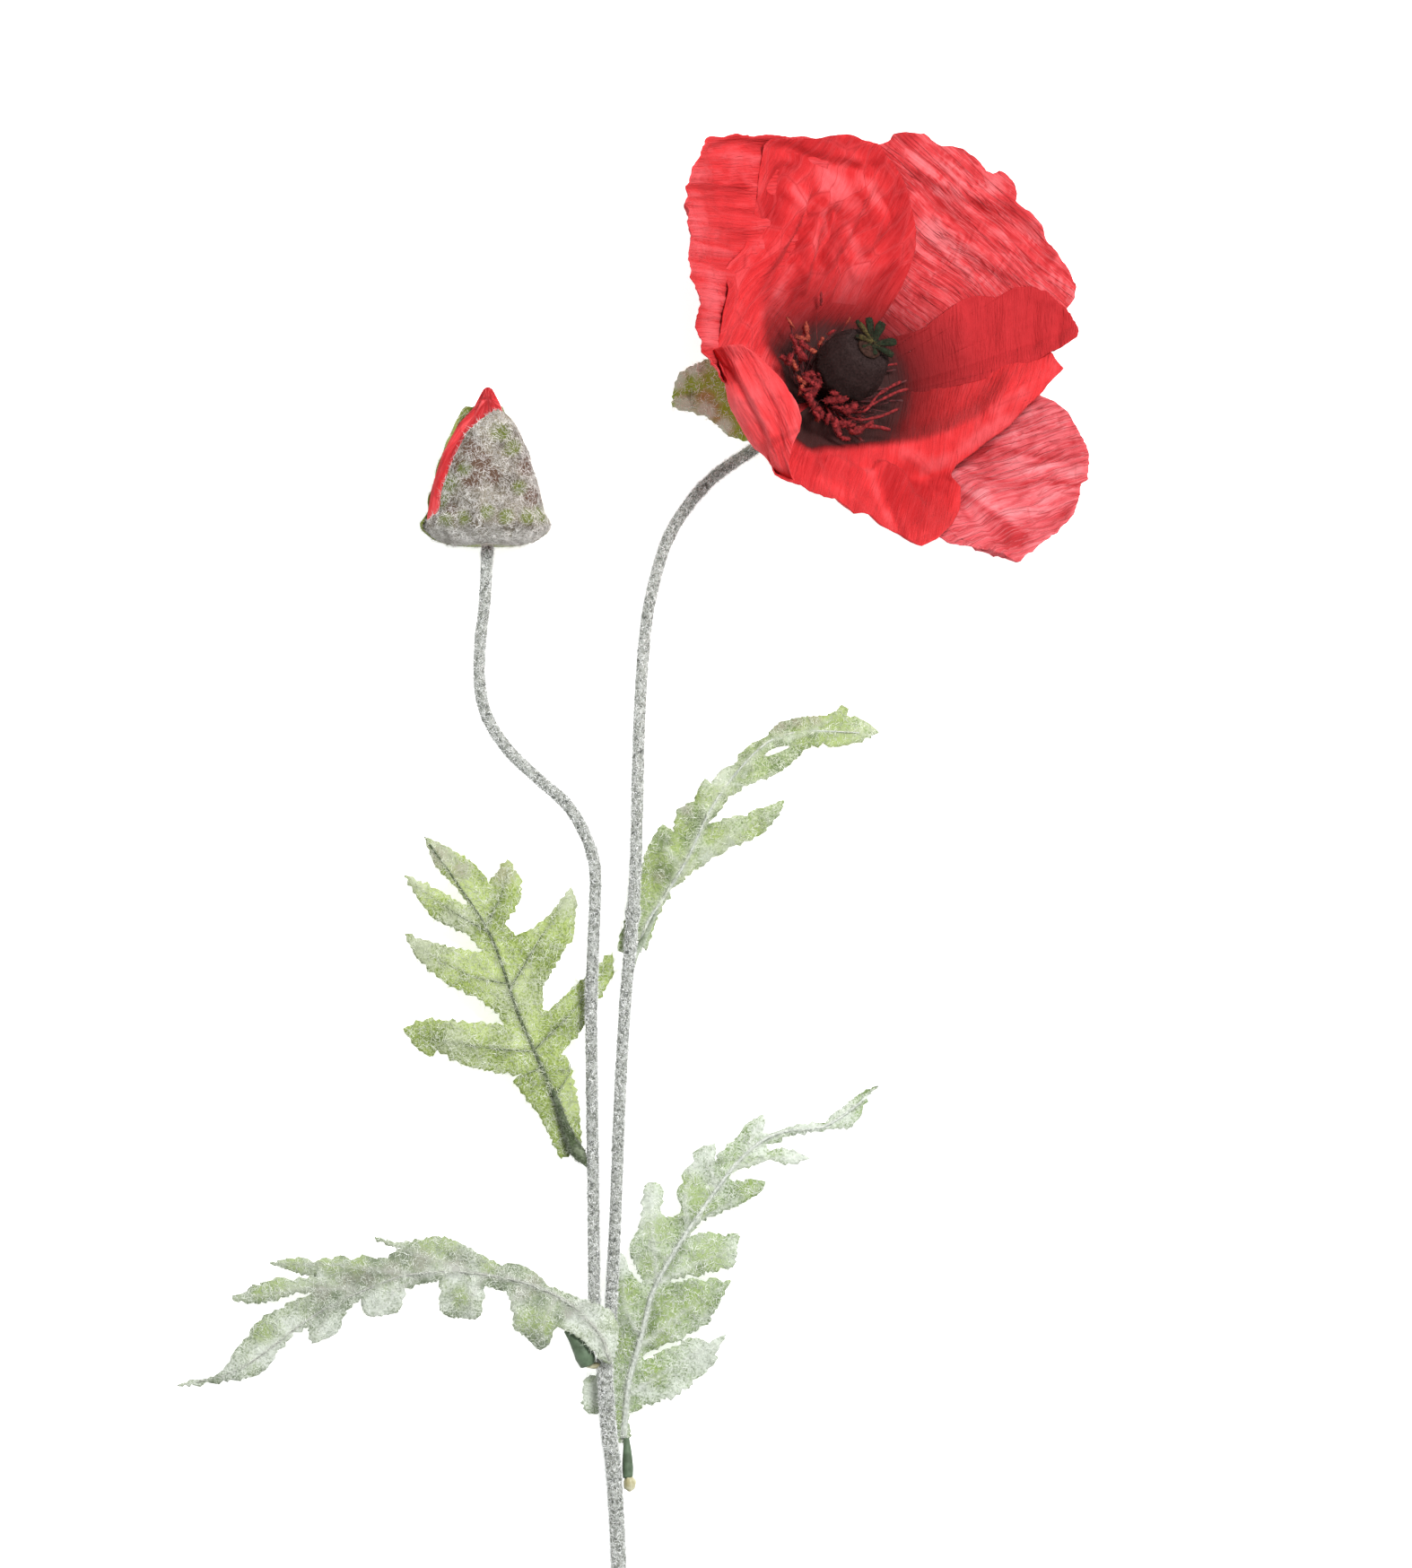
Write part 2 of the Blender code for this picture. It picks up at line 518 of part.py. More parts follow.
def make_bloom(materials, parent):
    base, axis = BLOOM_BASE, BLOOM_AXIS
    flock = materials["bloom_sepal_flock"]
    turned("receptacle", RECEPTACLE_PROFILE, base, axis, TURNING_STEPS, flock, parent)
    for name in PETALS:
        petal(name, materials["petal_crepe"], parent)
    turned("seed_capsule", CAPSULE_PROFILE, base, axis, TURNING_STEPS, materials["capsule_velvet"], parent)
    stigma = turned("stigma_disc", STIGMA_PROFILE, base, axis, TURNING_STEPS, materials["stigma_velvet"], parent)
    notch_stigma(stigma)
    turned("stamen_ring", STAMEN_PROFILE, base, axis, STAMEN_STEPS, materials["stamen_thread"], parent)


def make_bud(materials, parent):
    turned("bud_core", BUD_CORE_PROFILE, BUD_BASE, BUD_AXIS, TURNING_STEPS, materials["bud_crepe"], parent)
    for name in BUD_SEPALS:
        bud_sepal(name, materials["bud_sepal_flock"], parent)


def make_blades(materials, parent):
    for name in BLADES:
        blade(name, materials[BLADE_MATERIALS.get(name, "leaf_flock")], parent)


def centre_on_origin(spray):
    """Carry the spray so that the middle of its footprint is the origin and its lowest point is at zero."""
    bpy.context.view_layer.update()
    depsgraph = bpy.context.evaluated_depsgraph_get()
    low = Vector((math.inf, math.inf, math.inf))
    high = -low
    for piece in spray.children:
        shown = piece.evaluated_get(depsgraph)
        for corner in shown.to_mesh().vertices:
            place = shown.matrix_world @ corner.co
            low = Vector(map(min, low, place))
            high = Vector(map(max, high, place))
        shown.to_mesh_clear()
    spray.location = (-(low.x + high.x) / 2, -(low.y + high.y) / 2, -low.z)


def build():
    for item in list(bpy.data.objects):
        bpy.data.objects.remove(item)
    collection = bpy.data.collections.new("corn_poppy_spray")
    bpy.context.scene.collection.children.link(collection)
    spray = bpy.data.objects.new("spray", None)
    collection.objects.link(spray)
    materials = {name: make_material(name) for name in MATERIALS}
    make_stems(materials, spray)
    make_bloom(materials, spray)
    make_bud(materials, spray)
    make_blades(materials, spray)
    centre_on_origin(spray)


build()
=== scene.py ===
import math

import bpy
import numpy as np
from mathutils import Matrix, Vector, noise
from mathutils.geometry import delaunay_2d_cdt


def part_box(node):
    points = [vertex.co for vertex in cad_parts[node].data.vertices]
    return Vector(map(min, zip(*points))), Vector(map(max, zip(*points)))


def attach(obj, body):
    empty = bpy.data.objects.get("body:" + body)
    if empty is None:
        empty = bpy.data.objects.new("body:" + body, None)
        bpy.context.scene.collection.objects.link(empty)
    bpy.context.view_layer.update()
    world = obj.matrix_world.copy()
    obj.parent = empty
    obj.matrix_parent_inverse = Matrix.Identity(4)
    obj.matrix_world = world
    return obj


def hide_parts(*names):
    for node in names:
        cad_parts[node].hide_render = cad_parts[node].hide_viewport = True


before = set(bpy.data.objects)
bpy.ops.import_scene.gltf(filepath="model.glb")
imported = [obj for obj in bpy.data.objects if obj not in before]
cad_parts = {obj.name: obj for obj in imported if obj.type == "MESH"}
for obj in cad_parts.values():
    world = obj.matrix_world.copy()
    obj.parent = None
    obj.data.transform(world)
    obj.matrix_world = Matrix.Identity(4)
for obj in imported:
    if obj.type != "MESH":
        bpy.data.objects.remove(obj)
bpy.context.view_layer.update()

MM = 0.001

# Every shape is in millimetres from the fork of the stems, as the frame's own are, and FORK carries it there.
BEAD_CENTRE = np.array((4.8, -38.7, 4.1))
FORK = np.mean([np.array(corner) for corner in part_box("glue_bead_right")], axis=0) - BEAD_CENTRE * MM

MAIN_STEM_RADIUS = 1.9
BRANCH_RADIUS = 1.5
STALK_RADIUS = 0.75
# The flock takes this much of a stem's radius.
STEM_FLOCK = 0.16
MAIN_STEM_ROUTE = [
    (3.2, -142, 1.95), (3.3, -100, 2.2), (2.4, -58, 3.2), (1.2, -36, 4.3), (0.2, -28, 4.7),
    (-0.6, -16, 5.4), (-1.2, -4, 6.0),
]
BLOOM_STEM_ROUTE = [
    (0.6, -3.7, 6.3), (0.8, 4, 6.5), (1.6, 20, 6.8), (2.6, 46, 7.2), (3.8, 68, 7.6), (5.2, 84, 7.9),
    (6.2, 102, 8), (7, 132, 7.8), (8.2, 150, 7.6), (9.8, 160, 7.6), (13, 171, 7.8),
    (17.6, 179, 8), (23.4, 185.4, 8.2), (30.4, 190.4, 8.8), (36, 194, 9.8), (40, 196.6, 11.4),
    (42.75, 198.75, 12.9),
]
BUD_STEM_ROUTE = [
    (-3.0, -3.7, 6.3), (-3.1, 4, 6.7), (-3.3, 26, 7.3), (-3.6, 50, 7.8), (-3.7, 70, 8.2), (-3, 88, 8.6),
    (-2.9, 98, 8.8), (-4.7, 105, 9), (-9, 112.4, 9.4), (-15.6, 118.4, 9.8), (-22.4, 125, 10.2),
    (-27, 132.4, 10.6), (-28.6, 140, 11), (-28.4, 149, 11.4), (-27.4, 158, 11.8), (-26.8, 170.2, 12.2),
]
STALK_ROUTES = {
    "leaf_stalk_left": [(-4.4, 32.4, 7.2), (-6.4, 34.8, 7.4), (-8.6, 38.6, 7.4), (-12.4, 49, 6.4)],
    "leaf_stalk_upper_right": [(4.9, 76, 6.6), (6.4, 80, 5.8), (8.6, 84, 4.9), (11, 89, 5.4)],
    "leaf_stalk_lower_left": [(-3.6, -11.9, 6), (-5.4, -9.6, 6.4), (-9, -5.2, 6.8)],
    "leaf_stalk_lower_right": [(4.4, -37.4, 4), (4.3, -33, 3.4), (4.1, -28.6, 2.9)],
}
GLUE_BEADS = {
    "glue_bead_left": ((-3.0, -12.3, 6.0), (2.4, 0.75, 1.0)),
    "glue_bead_right": (tuple(BEAD_CENTRE), (1.35, 1.8, 1.3)),
}

# The bloom is a bowl of petals about a leaning axis. Its wall rises from a seat, and BELLY and SHOULDER say
# how round it is. Layers of petals are SEAT_STEP apart at the seat, and RIM_STEP more than that at the rim.
BLOOM_BASE = np.array((46.0, 202.0, 17.0))
BLOOM_AXIS = np.array((0.525, 0.525, 0.67)) / np.linalg.norm((0.525, 0.525, 0.67))
SEAT_RADIUS = 2.9
SEAT_HEIGHT = 0.55
SEAT_STEP = 0.75
RIM_STEP = 1.1
BELLY = 0.26
SHOULDER = 0.34
PETAL_THICKNESS = 0.3
# Over this height the bloom is pressed flatter, so that it never rises more than PRESSED_MOST above it.
BLOOM_SHOULDER = 48.0
PRESSED_SPAN = 14
PRESSED_MOST = 13
# The bowl's rim: x and y as seen from above, and the height over the table.
RIM = np.array([
    (100.4, 209.6, 10), (104.8, 217, 5), (102.4, 223.4, 3), (104.4, 228, 2.6), (100.4, 235, 2),
    (94.4, 244, 1.6), (86, 253, 1.6), (74, 259.2, 2.2), (66.8, 262.4, 4), (52.4, 262, 9),
    (44.4, 261, 13), (32.4, 260.8, 21), (22.4, 258.8, 28), (18, 248, 38), (19.2, 230, 45),
    (20.2, 213.6, 47), (24.4, 208, 47), (28.4, 199.6, 47), (32.4, 192.6, 47), (40.4, 184, 50),
    (50.8, 180, 51), (59.4, 176, 49), (69.2, 169.8, 46), (80.4, 169, 41), (94.4, 170, 32),
    (104.8, 183, 23), (106.8, 191, 18), (102.4, 200, 14),
])
# The edge of the bloom's well on the left and at the front, as seen from above: the blotch and the painted
# shade round it stop there.
WELL_EDGE = [
    (34, 228), (33.6, 221), (34.6, 214.6), (37.4, 210), (38.6, 204), (38, 198), (40, 193.4), (44, 191),
    (51, 191), (61, 192.2), (68.6, 193), (76, 195.2), (83, 198.4), (86.8, 202.6), (90.4, 206.4),
    (95.6, 208), (100, 209.4),
]
# How far from its middle the blotch is black, and where its maroon fade, partly painted shade deep in the
# bowl, ends, by heading.
BLOTCH_AND_SHADE_MIDDLE = (50.4, 207.6)
BLOTCH_AND_SHADE_HEADINGS = (0, 45, 90, 135, 180, 225, 270, 315, 360)
BLOTCH_AND_SHADE_FULL = (9, 8, 7, 8, 11, 22, 18, 13, 9)
BLOTCH_AND_SHADE_GONE = (38, 31, 28, 31, 34, 42, 34, 36, 38)
# Two folds that rise straight up, at the left edge of the well and at its front. A fold has the points of a
# crest or of a valley, its height, and its widths to the right and to the left of its run. It fades out over
# FOLD_FADE of its run at each end.
FOLD_FADE = 0.22
LEFT_LIP = ([(33, 234), (33.4, 226), (33.8, 219), (35.4, 213), (38, 208), (41, 203)], 5.0, 7.0, 4.0)
FRONT_LIP = (
    [
        (37, 200), (38.6, 195), (43, 191.2), (51, 191), (61, 192.2), (68.6, 193), (76, 195.2), (83, 198.4),
        (86.8, 202.6), (90.4, 206.4), (95.6, 208), (101, 210),
    ],
    8.0, 8.0, 2.8,
)
# Each petal's crepe, its free edge as seen from above, its layer from one end of that edge to the other, the
# depths of its pleats, creases and cross crinkles, the heading of its grain, and its folds.
PETALS = {
    "petal_outer_top": {
        "crepe": "worn",
        "layer": [(0, 0), (1, 0)],
        "pleats": (0.6, 0.6, 0.25),
        "grain": -42,
        "edge": [
            (92, 203), (95, 209), (99, 216), (102, 223.2), (104, 225.4), (104.4, 228), (103.4, 230),
            (102.4, 232.4), (100.4, 235), (97.6, 238.6), (96.8, 241.6), (94.4, 244.6), (90.8, 246.8),
            (91.2, 248.6), (90.4, 251.4), (88.4, 253.6), (86.8, 254), (86, 253), (84.4, 253.8),
            (82.4, 256.4), (79.4, 258.8), (76.4, 259.4), (73.8, 259.4), (72.4, 260.6), (70.4, 262),
            (66.8, 262.6), (63.6, 262), (63, 260.4), (60.4, 259.6), (54, 256), (46, 252),
        ],
        "folds": [
            ([(64, 257), (72, 252), (80, 249), (88, 245)], 1.7, 1.3, 1.8),
            ([(66, 250), (74, 246), (81, 241), (90, 236)], -1.1, 1.4, 1.8),
            ([(72, 254), (80, 250.6), (88, 249)], -0.9, 1.0, 1.4),
            ([(80, 248), (86, 243), (93, 239), (100, 232)], -2.6, 1.2, 3.0),
            ([(68, 238), (74, 233), (82, 228)], -1.1, 1.2, 1.8),
            ([(70, 244), (78, 239), (86, 233), (94, 229)], 1.8, 1.3, 2.0),
            ([(66, 229), (72, 226), (76, 222)], 0.8, 1.4, 1.4),
        ],
    },
    "petal_outer_right": {
        "crepe": "backlit_pale",
        "layer": [(0, 0), (1, 0)],
        "pleats": (0.55, 0.55, 0.3),
        "grain": 18,
        "edge": [
            (69, 176), (72, 172.4), (78.4, 170.6), (83, 169.6), (85.4, 169.2), (89, 167.8), (91, 166.6),
            (93, 168.6), (95.4, 170), (98.4, 172), (100.4, 174), (102, 175.6), (104.2, 179), (105, 182.6),
            (104.8, 184.2), (106.6, 184.8), (106.8, 188), (106.8, 191), (106.4, 192.4), (104.4, 196.2),
            (102.4, 199.8), (99.4, 202.4), (96, 203.8), (94.4, 205), (90, 207), (84, 209),
        ],
        "folds": [
            ([(74, 190), (86, 190), (97, 189.6), (106, 188.4)], -1.3, 1.3, 1.5),
            ([(76, 191), (86, 194), (95, 197), (103, 198)], 1.0, 1.6, 1.6),
            ([(74, 187), (84, 182), (93, 181), (104, 184)], 1.1, 2.0, 2.0),
            ([(74, 186), (80, 178), (86, 173), (90, 171)], -1.4, 1.4, 1.8),
            ([(72, 187), (75, 179), (77, 172)], 1.1, 1.6, 1.6),
        ],
    },
    "petal_outer_left": {
        "crepe": "rose",
        "layer": [(0, 1), (1, 1)],
        "pleats": (0.5, 0.4, 0.3),
        "grain": 2,
        "edge": [
            (50, 260), (44.4, 261.2), (40.4, 261), (36.8, 261.4), (34.4, 261.2), (32.8, 260.6),
            (30.4, 261.2), (28.4, 261.6), (26.8, 261.4), (25.6, 260.8), (22.4, 260.6), (21.4, 258.4),
            (20.4, 256), (19.2, 254), (18.6, 251), (19, 249.8), (17.8, 249.4), (18.4, 247.6), (17.4, 246),
            (18.6, 244.6), (18.2, 243), (17.8, 240.6), (18.4, 239.6), (18, 236), (18.4, 232), (19.4, 228.4),
            (20, 224), (20.2, 219), (20.4, 215), (20.2, 213.6), (22, 211.4), (25.4, 207),
        ],
        "folds": [
            ([(17, 249.4), (24, 249.2), (33, 248.6)], -1.3, 0.9, 0.9),
            ([(17, 247), (25, 247), (34, 247.4)], -1.0, 0.8, 0.8),
            ([(21, 256), (27, 259), (34, 259), (42, 259)], -1.5, 1.0, 1.4),
            ([(19, 241), (26, 241.4), (33, 240)], 0.7, 1.4, 1.4),
            ([(20, 234), (26, 234), (31, 235)], -0.7, 1.0, 1.0),
        ],
    },
    "petal_inner_top": {
        "crepe": "red",
        "layer": [(0, 2), (0.42, 2), (0.54, 1.05), (0.62, 0.85), (1, 0.8)],
        "pleats": (0.4, 0.22, 0.12),
        "grain": 58,
        "edge": [
            (59.6, 219.4), (62.4, 223), (65, 227.2), (67.2, 232), (68.6, 236.8), (68.6, 241), (67.4, 246.8),
            (66.2, 250.8), (64.2, 254.4), (61.4, 258), (60.4, 259.8), (56.4, 260.6), (54.4, 261.6),
            (52.4, 261.8), (48.4, 261.2), (44.4, 260.6), (40.4, 260.4), (36.8, 260.6), (34.6, 259.4),
            (34.2, 256), (33.4, 252), (32.8, 246), (32.4, 241), (30.2, 236.4), (27.6, 233.8), (26, 231.6),
            (26.8, 227), (26.4, 223.6), (25.4, 220), (24.6, 216), (24.4, 212), (26.4, 207), (28, 203),
        ],
        "folds": [
            LEFT_LIP,
            ([(33, 229), (36, 234), (40, 240), (42.6, 246), (45, 252)], 2.2, 1.4, 1.8),
            ([(36, 228), (39.6, 233), (43, 240), (45, 246), (49, 250)], -1.8, 1.1, 1.1),
            ([(41, 226), (44, 233), (45.6, 240), (48, 246), (54, 250)], 2.3, 1.2, 1.6),
            ([(48, 230), (50, 236), (53, 240), (56, 247), (60, 255)], 2.4, 1.1, 2.0),
            ([(45, 229), (48, 237), (50.6, 242), (52, 246)], -1.6, 1.1, 1.1),
            ([(56, 234), (59, 239), (63, 243), (66, 247)], 2.0, 1.1, 1.8),
            ([(35, 258.6), (42, 257.6), (48, 255), (56, 253.6), (62, 255)], -1.9, 1.6, 1.6),
            ([(36, 247), (38.4, 252), (41, 256)], -1.5, 1.8, 1.8),
            ([(54, 229), (60, 232), (66, 234)], 0.9, 1.5, 1.5),
            ([(38, 250), (42, 246), (44, 240)], 1.0, 0.7, 0.9),
            ([(47, 254), (50, 249), (50.6, 243)], -1.0, 0.7, 0.7),
            ([(54, 252), (57, 247), (57, 241)], 1.1, 0.7, 0.9),
            ([(41, 236), (43, 230), (43.4, 225)], 1.0, 0.7, 0.9),
            ([(51, 238), (54, 233), (55, 228)], 0.9, 0.7, 0.9),
            ([(59, 250), (62, 246), (63, 240)], -1.0, 0.8, 0.8),
            ([(40, 244), (46, 243), (52, 245)], -0.7, 0.8, 0.8),
            ([(50, 258), (56, 256), (60, 251)], 0.9, 0.8, 0.8),
        ],
    },
    "petal_inner_right": {
        "crepe": "deep_red",
        "layer": [(0, 2.08), (0.2, 2.6), (0.4, 3), (1, 3)],
        "pleats": (0.18, 0.14, 0.05),
        "grain": 92,
        "edge": [
            (90, 209), (96, 211.8), (98.8, 213.4), (100.4, 214), (102.4, 215.2), (104.4, 216.4),
            (104.8, 218), (103.8, 220.6), (102, 223), (100.4, 224.4), (97.4, 227), (94.4, 228),
            (90.4, 227.8), (88.4, 226.6), (86.6, 225.6), (84.6, 225.8), (82.4, 226), (79.4, 225.2),
            (77.2, 224), (75.2, 221.4), (72.4, 219.4), (68.4, 218), (64.4, 216.8), (61.4, 216.4),
        ],
        "folds": [
            ([(95, 213), (94.6, 219), (95.6, 226)], -0.8, 0.9, 0.9),
            ([(100, 214), (100.4, 219), (101, 223)], -0.7, 0.8, 0.8),
            ([(88, 212), (88, 219), (89, 226)], 0.7, 1.6, 1.6),
            ([(78, 210), (78.6, 217), (79, 224)], 0.6, 1.6, 1.6),
        ],
    },
    "petal_inner_bottom": {
        "crepe": "inner",
        "layer": [(0, 2), (1, 2)],
        "pleats": (0.3, 0.2, 0.12),
        "grain": 78,
        "edge": [
            (34, 193), (35.4, 190), (37.4, 186), (40.4, 184), (44.4, 182.4), (50.8, 180.6), (54.4, 177),
            (58.4, 176.6), (61.4, 174), (64.4, 172.6), (66.4, 171.4), (69.2, 169.6), (73.4, 172),
            (76.4, 175), (78.2, 178), (78.4, 183), (76, 185.8), (77.6, 188), (81.4, 191), (85.4, 194),
            (89.4, 197), (92.4, 200.4), (96, 203.8), (97.8, 206), (101.4, 209.6), (99.6, 211.6),
            (98.8, 213.2), (92, 214.4),
        ],
        "folds": [
            FRONT_LIP,
            ([(57, 182), (60, 187), (64.4, 185), (66.4, 180), (72, 177)], 2.6, 1.6, 1.3),
            ([(63, 188), (70, 186), (76, 188)], -1.6, 2.2, 2.2),
            ([(42, 196), (50, 187), (56, 186)], -0.9, 1.4, 1.4),
            ([(86, 201.4), (93, 205.4), (100, 209)], 0.9, 1.0, 1.0),
            ([(48, 190), (54, 186.6), (60, 183)], 1.0, 1.2, 1.2),
        ],
    },
}
# Each crepe's pale, middle and deep red, and how strong its streaks, clouds, creases and crumples are. The
# two palest crepes, on the outer top and outer right petals, are paler as painted light showing through them.
CREPES = {
    "red": ("#ce5256", "#b9272a", "#9c181c", 0.18, 0.16, 0.18, 0.8),
    "inner": ("#c8484c", "#bc282b", "#9c181c", 0.15, 0.14, 0.18, 0.3),
    "deep_red": ("#ae2b2f", "#a42327", "#901b1f", 0.13, 0.14, 0.12, 0.15),
    "rose": ("#c85156", "#ba2a2d", "#a52124", 0.15, 0.1, 0.17, 0.4),
    "lip": ("#cf5a5e", "#c43336", "#b2272b", 0.12, 0.06, 0.15, 0.15),
    "worn": ("#d26e72", "#bb3438", "#9e1f22", 0.34, 0.14, 0.5, 0.4),
    "backlit_pale": ("#d27f84", "#c04e54", "#a62a2f", 0.3, 0.1, 0.5, 0.4),
}
# A petal's columns are fitted to its edge in this many rounds, and no further than this share of the way
# from the seat to the rim.
FIT_ROUNDS = 7
FIT_REACH = 1.12
PETAL_ROWS = 76
PETAL_COLUMNS = 144
# The front petal goes on past its edge, and that part rolls over into the bloom: by the share of the way
# across, how far round it rolls, in radians, and the heading that it rolls towards.
FLAP_COLUMNS = 110
FLAP_ROLL_ROWS = 44
FLAP_GRAIN = -62
FLAP_PLEATS = (0.35, 0.3, 0.1)
CURL_WIDTH = 10.2
CURL_HEIGHT = 8.6
FLAP_EDGE = [
    (23.2, 213), (24.4, 211), (26, 206), (26.8, 202), (28.8, 198), (30.4, 195), (32.4, 192), (34.4, 190.4),
    (36, 188), (37.6, 186.2), (40.4, 184.4), (44, 183.2),
]
FLAP_CURL = [
    (0, 1.3), (0.07, 1.6), (0.18, 1.85), (0.32, 1.95), (0.44, 1.88), (0.52, 1.8), (0.6, 1.66), (0.68, 1.45),
    (0.76, 1.15), (0.84, 0.75), (0.92, 0.32), (1, 0.03),
]
FLAP_HEADING = [(0, 2), (0.3, 6), (0.6, 22), (0.8, 50), (1, 75)]
FLAP_FOLDS = [
    ([(25, 211), (30, 203), (36, 192)], -0.9, 0.9, 1.2),
    ([(27, 212), (33, 202), (38, 190)], 0.8, 1.0, 1.0),
    ([(31, 210), (37, 200), (39, 190)], -0.7, 0.8, 0.8),
    ([(36, 208), (41, 199), (40, 190)], 0.7, 1.0, 1.0),
]

# Turned pieces: (radius, height) along their axes.
RECEPTACLE_PROFILE = [(0, -5.4), (2.0, -5.4), (3.0, -4), (4.0, -1.6), (4.3, -0.1), (0, 0)]
CAPSULE_PROFILE = [
    (0, 0.3), (2.3, 0.4), (2.3, 5), (4, 7.4), (6.4, 10.4), (7.6, 13.4), (7.4, 17.4), (6.2, 20.6),
    (5.2, 22.2), (0, 22.4),
]
STIGMA_PROFILE = [(0, 22.4), (2.6, 22.4), (2.9, 23.0), (1.6, 23.7), (0, 23.9)]
# A finger and an anther are modelled one long and stretched to size. Their axis can't be quite upright.
UPRIGHT = np.array((0, 0.001, 1.0))
FINGER_PROFILE = [(0, 0), (0.3, 0.02), (0.34, 0.4), (0.5, 0.75), (0.38, 0.96), (0, 1)]
ANTHER_PROFILE = [(0, -0.5), (0.32, -0.46), (0.5, -0.2), (0.44, 0.1), (0.5, 0.3), (0.3, 0.46), (0, 0.5)]
STIGMA_HEIGHT = 23.4
STIGMA_SHIFT = (0.4, 0.5, 0)
# The stigma's fingers as seen from above: heading, length, width, and how much green each has.
STIGMA_FINGERS = [
    (97, 5.8, 1.8, 0.3), (65, 5.2, 2.0, 0.3), (6, 5.2, 1.8, 0.3), (-29, 5.2, 1.7, 0.3),
    (124, 6.2, 0.9, 1.1), (153, 4.0, 0.9, 1.1), (-75, 2.4, 1.1, 0), (200, 2.4, 1.0, 0),
]
# Anthers as seen from above, with their headings, lengths and widths.
ANTHERS = [
    (44.2, 217.4, 95, 5.0, 1.5), (42.8, 212.6, 130, 4.0, 1.9), (44.4, 208.0, 20, 3.6, 1.9),
    (45.8, 204.6, 60, 4.2, 2.3), (45.0, 202.4, 100, 3.4, 1.6), (50.4, 202.4, 8, 5.6, 1.9),
    (54.0, 200.4, 42, 4.0, 2.1), (47.2, 199.6, 120, 3.0, 1.6), (50.8, 196.4, 105, 4.0, 1.5),
    (55.0, 195.6, 20, 3.2, 1.7), (41.4, 215.6, 120, 4.0, 1.2), (40.4, 211.4, 80, 2.8, 1.4),
    (48.8, 198.2, 70, 2.8, 1.3), (47.4, 215.4, 60, 2.4, 1.0), (40.6, 219.6, 125, 3.4, 0.7),
    (47.4, 225.2, 88, 3.2, 0.6), (43.6, 214.6, 140, 2.8, 1.4), (52.6, 193.8, 350, 2.6, 1.1),
    (57.8, 197.0, 30, 2.8, 1.1), (46.4, 206.6, 150, 2.6, 1.4), (43.0, 204.6, 70, 2.6, 1.2),
    (52.6, 204.4, 0, 2.4, 1.0), (53.4, 220.2, 60, 2.2, 0.6), (49.6, 217.6, 30, 2.0, 0.8),
]
# Thick soft strands, each a path as seen from above and a radius.
STRANDS = [
    ([(57.0, 200.0), (59.7, 203.3), (62.4, 205.2), (65.0, 206.6)], 0.42),
    ([(58.0, 201.2), (61.2, 202.8), (64.0, 204.2), (66.6, 205.0)], 0.38),
    ([(54.4, 195.2), (57.0, 196.4), (60.0, 196.4), (62.6, 195.8)], 0.5),
    ([(55.4, 198.0), (58.4, 198.3), (61.6, 199.2), (64.6, 200.6)], 0.36),
    ([(50.2, 197.2), (50.6, 196.2), (51.0, 195.2), (51.6, 194.4)], 0.6),
    ([(59.6, 209.0), (61.0, 209.8), (62.6, 210.4), (64.2, 210.6)], 0.3),
]
# The ends of the bare threads as seen from above, and their radii.
THREAD_ENDS = [
    (60.4, 205.6, 0.42), (61.8, 204.4, 0.4), (65.4, 202.4, 0.3), (56.6, 198.8, 0.3), (63.4, 199.6, 0.24),
    (66.4, 207.0, 0.2), (56.4, 193.4, 0.24), (64.0, 209.4, 0.2),
]
LOOSE_THREADS = 60

BUD_BASE = np.array((-26.8, 170.6, 12.6))
BUD_AXIS = np.array((0, 1, -0.06)) / np.linalg.norm((0, 1, -0.06))
BUD_LENGTH = 35.0
BUD_CORE_PROFILE = [
    (0, 0.2), (9.8, 0.2), (11.6, 1.2), (11.7, 4), (10.4, 12), (8.1, 20), (5.3, 26.4), (2.7, 31.6),
    (1.0, 34.6), (0, 35.4),
]
# Each half of the husk: at shares of the bud's length, the angles about its axis where it starts and ends.
HUSK_COLUMNS = 96
HUSK_ROWS = 88
HUSK_FOOT = -0.13
HUSK_THICKNESS = 0.6
BUD_SEPALS = {
    "bud_sepal_front": [
        (-0.13, 8, 178), (0.03, 8, 176), (0.08, 5, 170), (0.18, 4, 156), (0.33, 4, 151), (0.45, 5, 146),
        (0.56, 6, 139), (0.7, 10, 128), (0.78, 20, 104), (0.835, 46, 76),
    ],
    "bud_sepal_back": [
        (-0.13, 178, 353), (0.03, 175, 353), (0.15, 172, 355), (0.32, 170, 352), (0.5, 166, 346),
        (0.7, 160, 336), (0.78, 160, 326), (0.88, 200, 318),
    ],
}

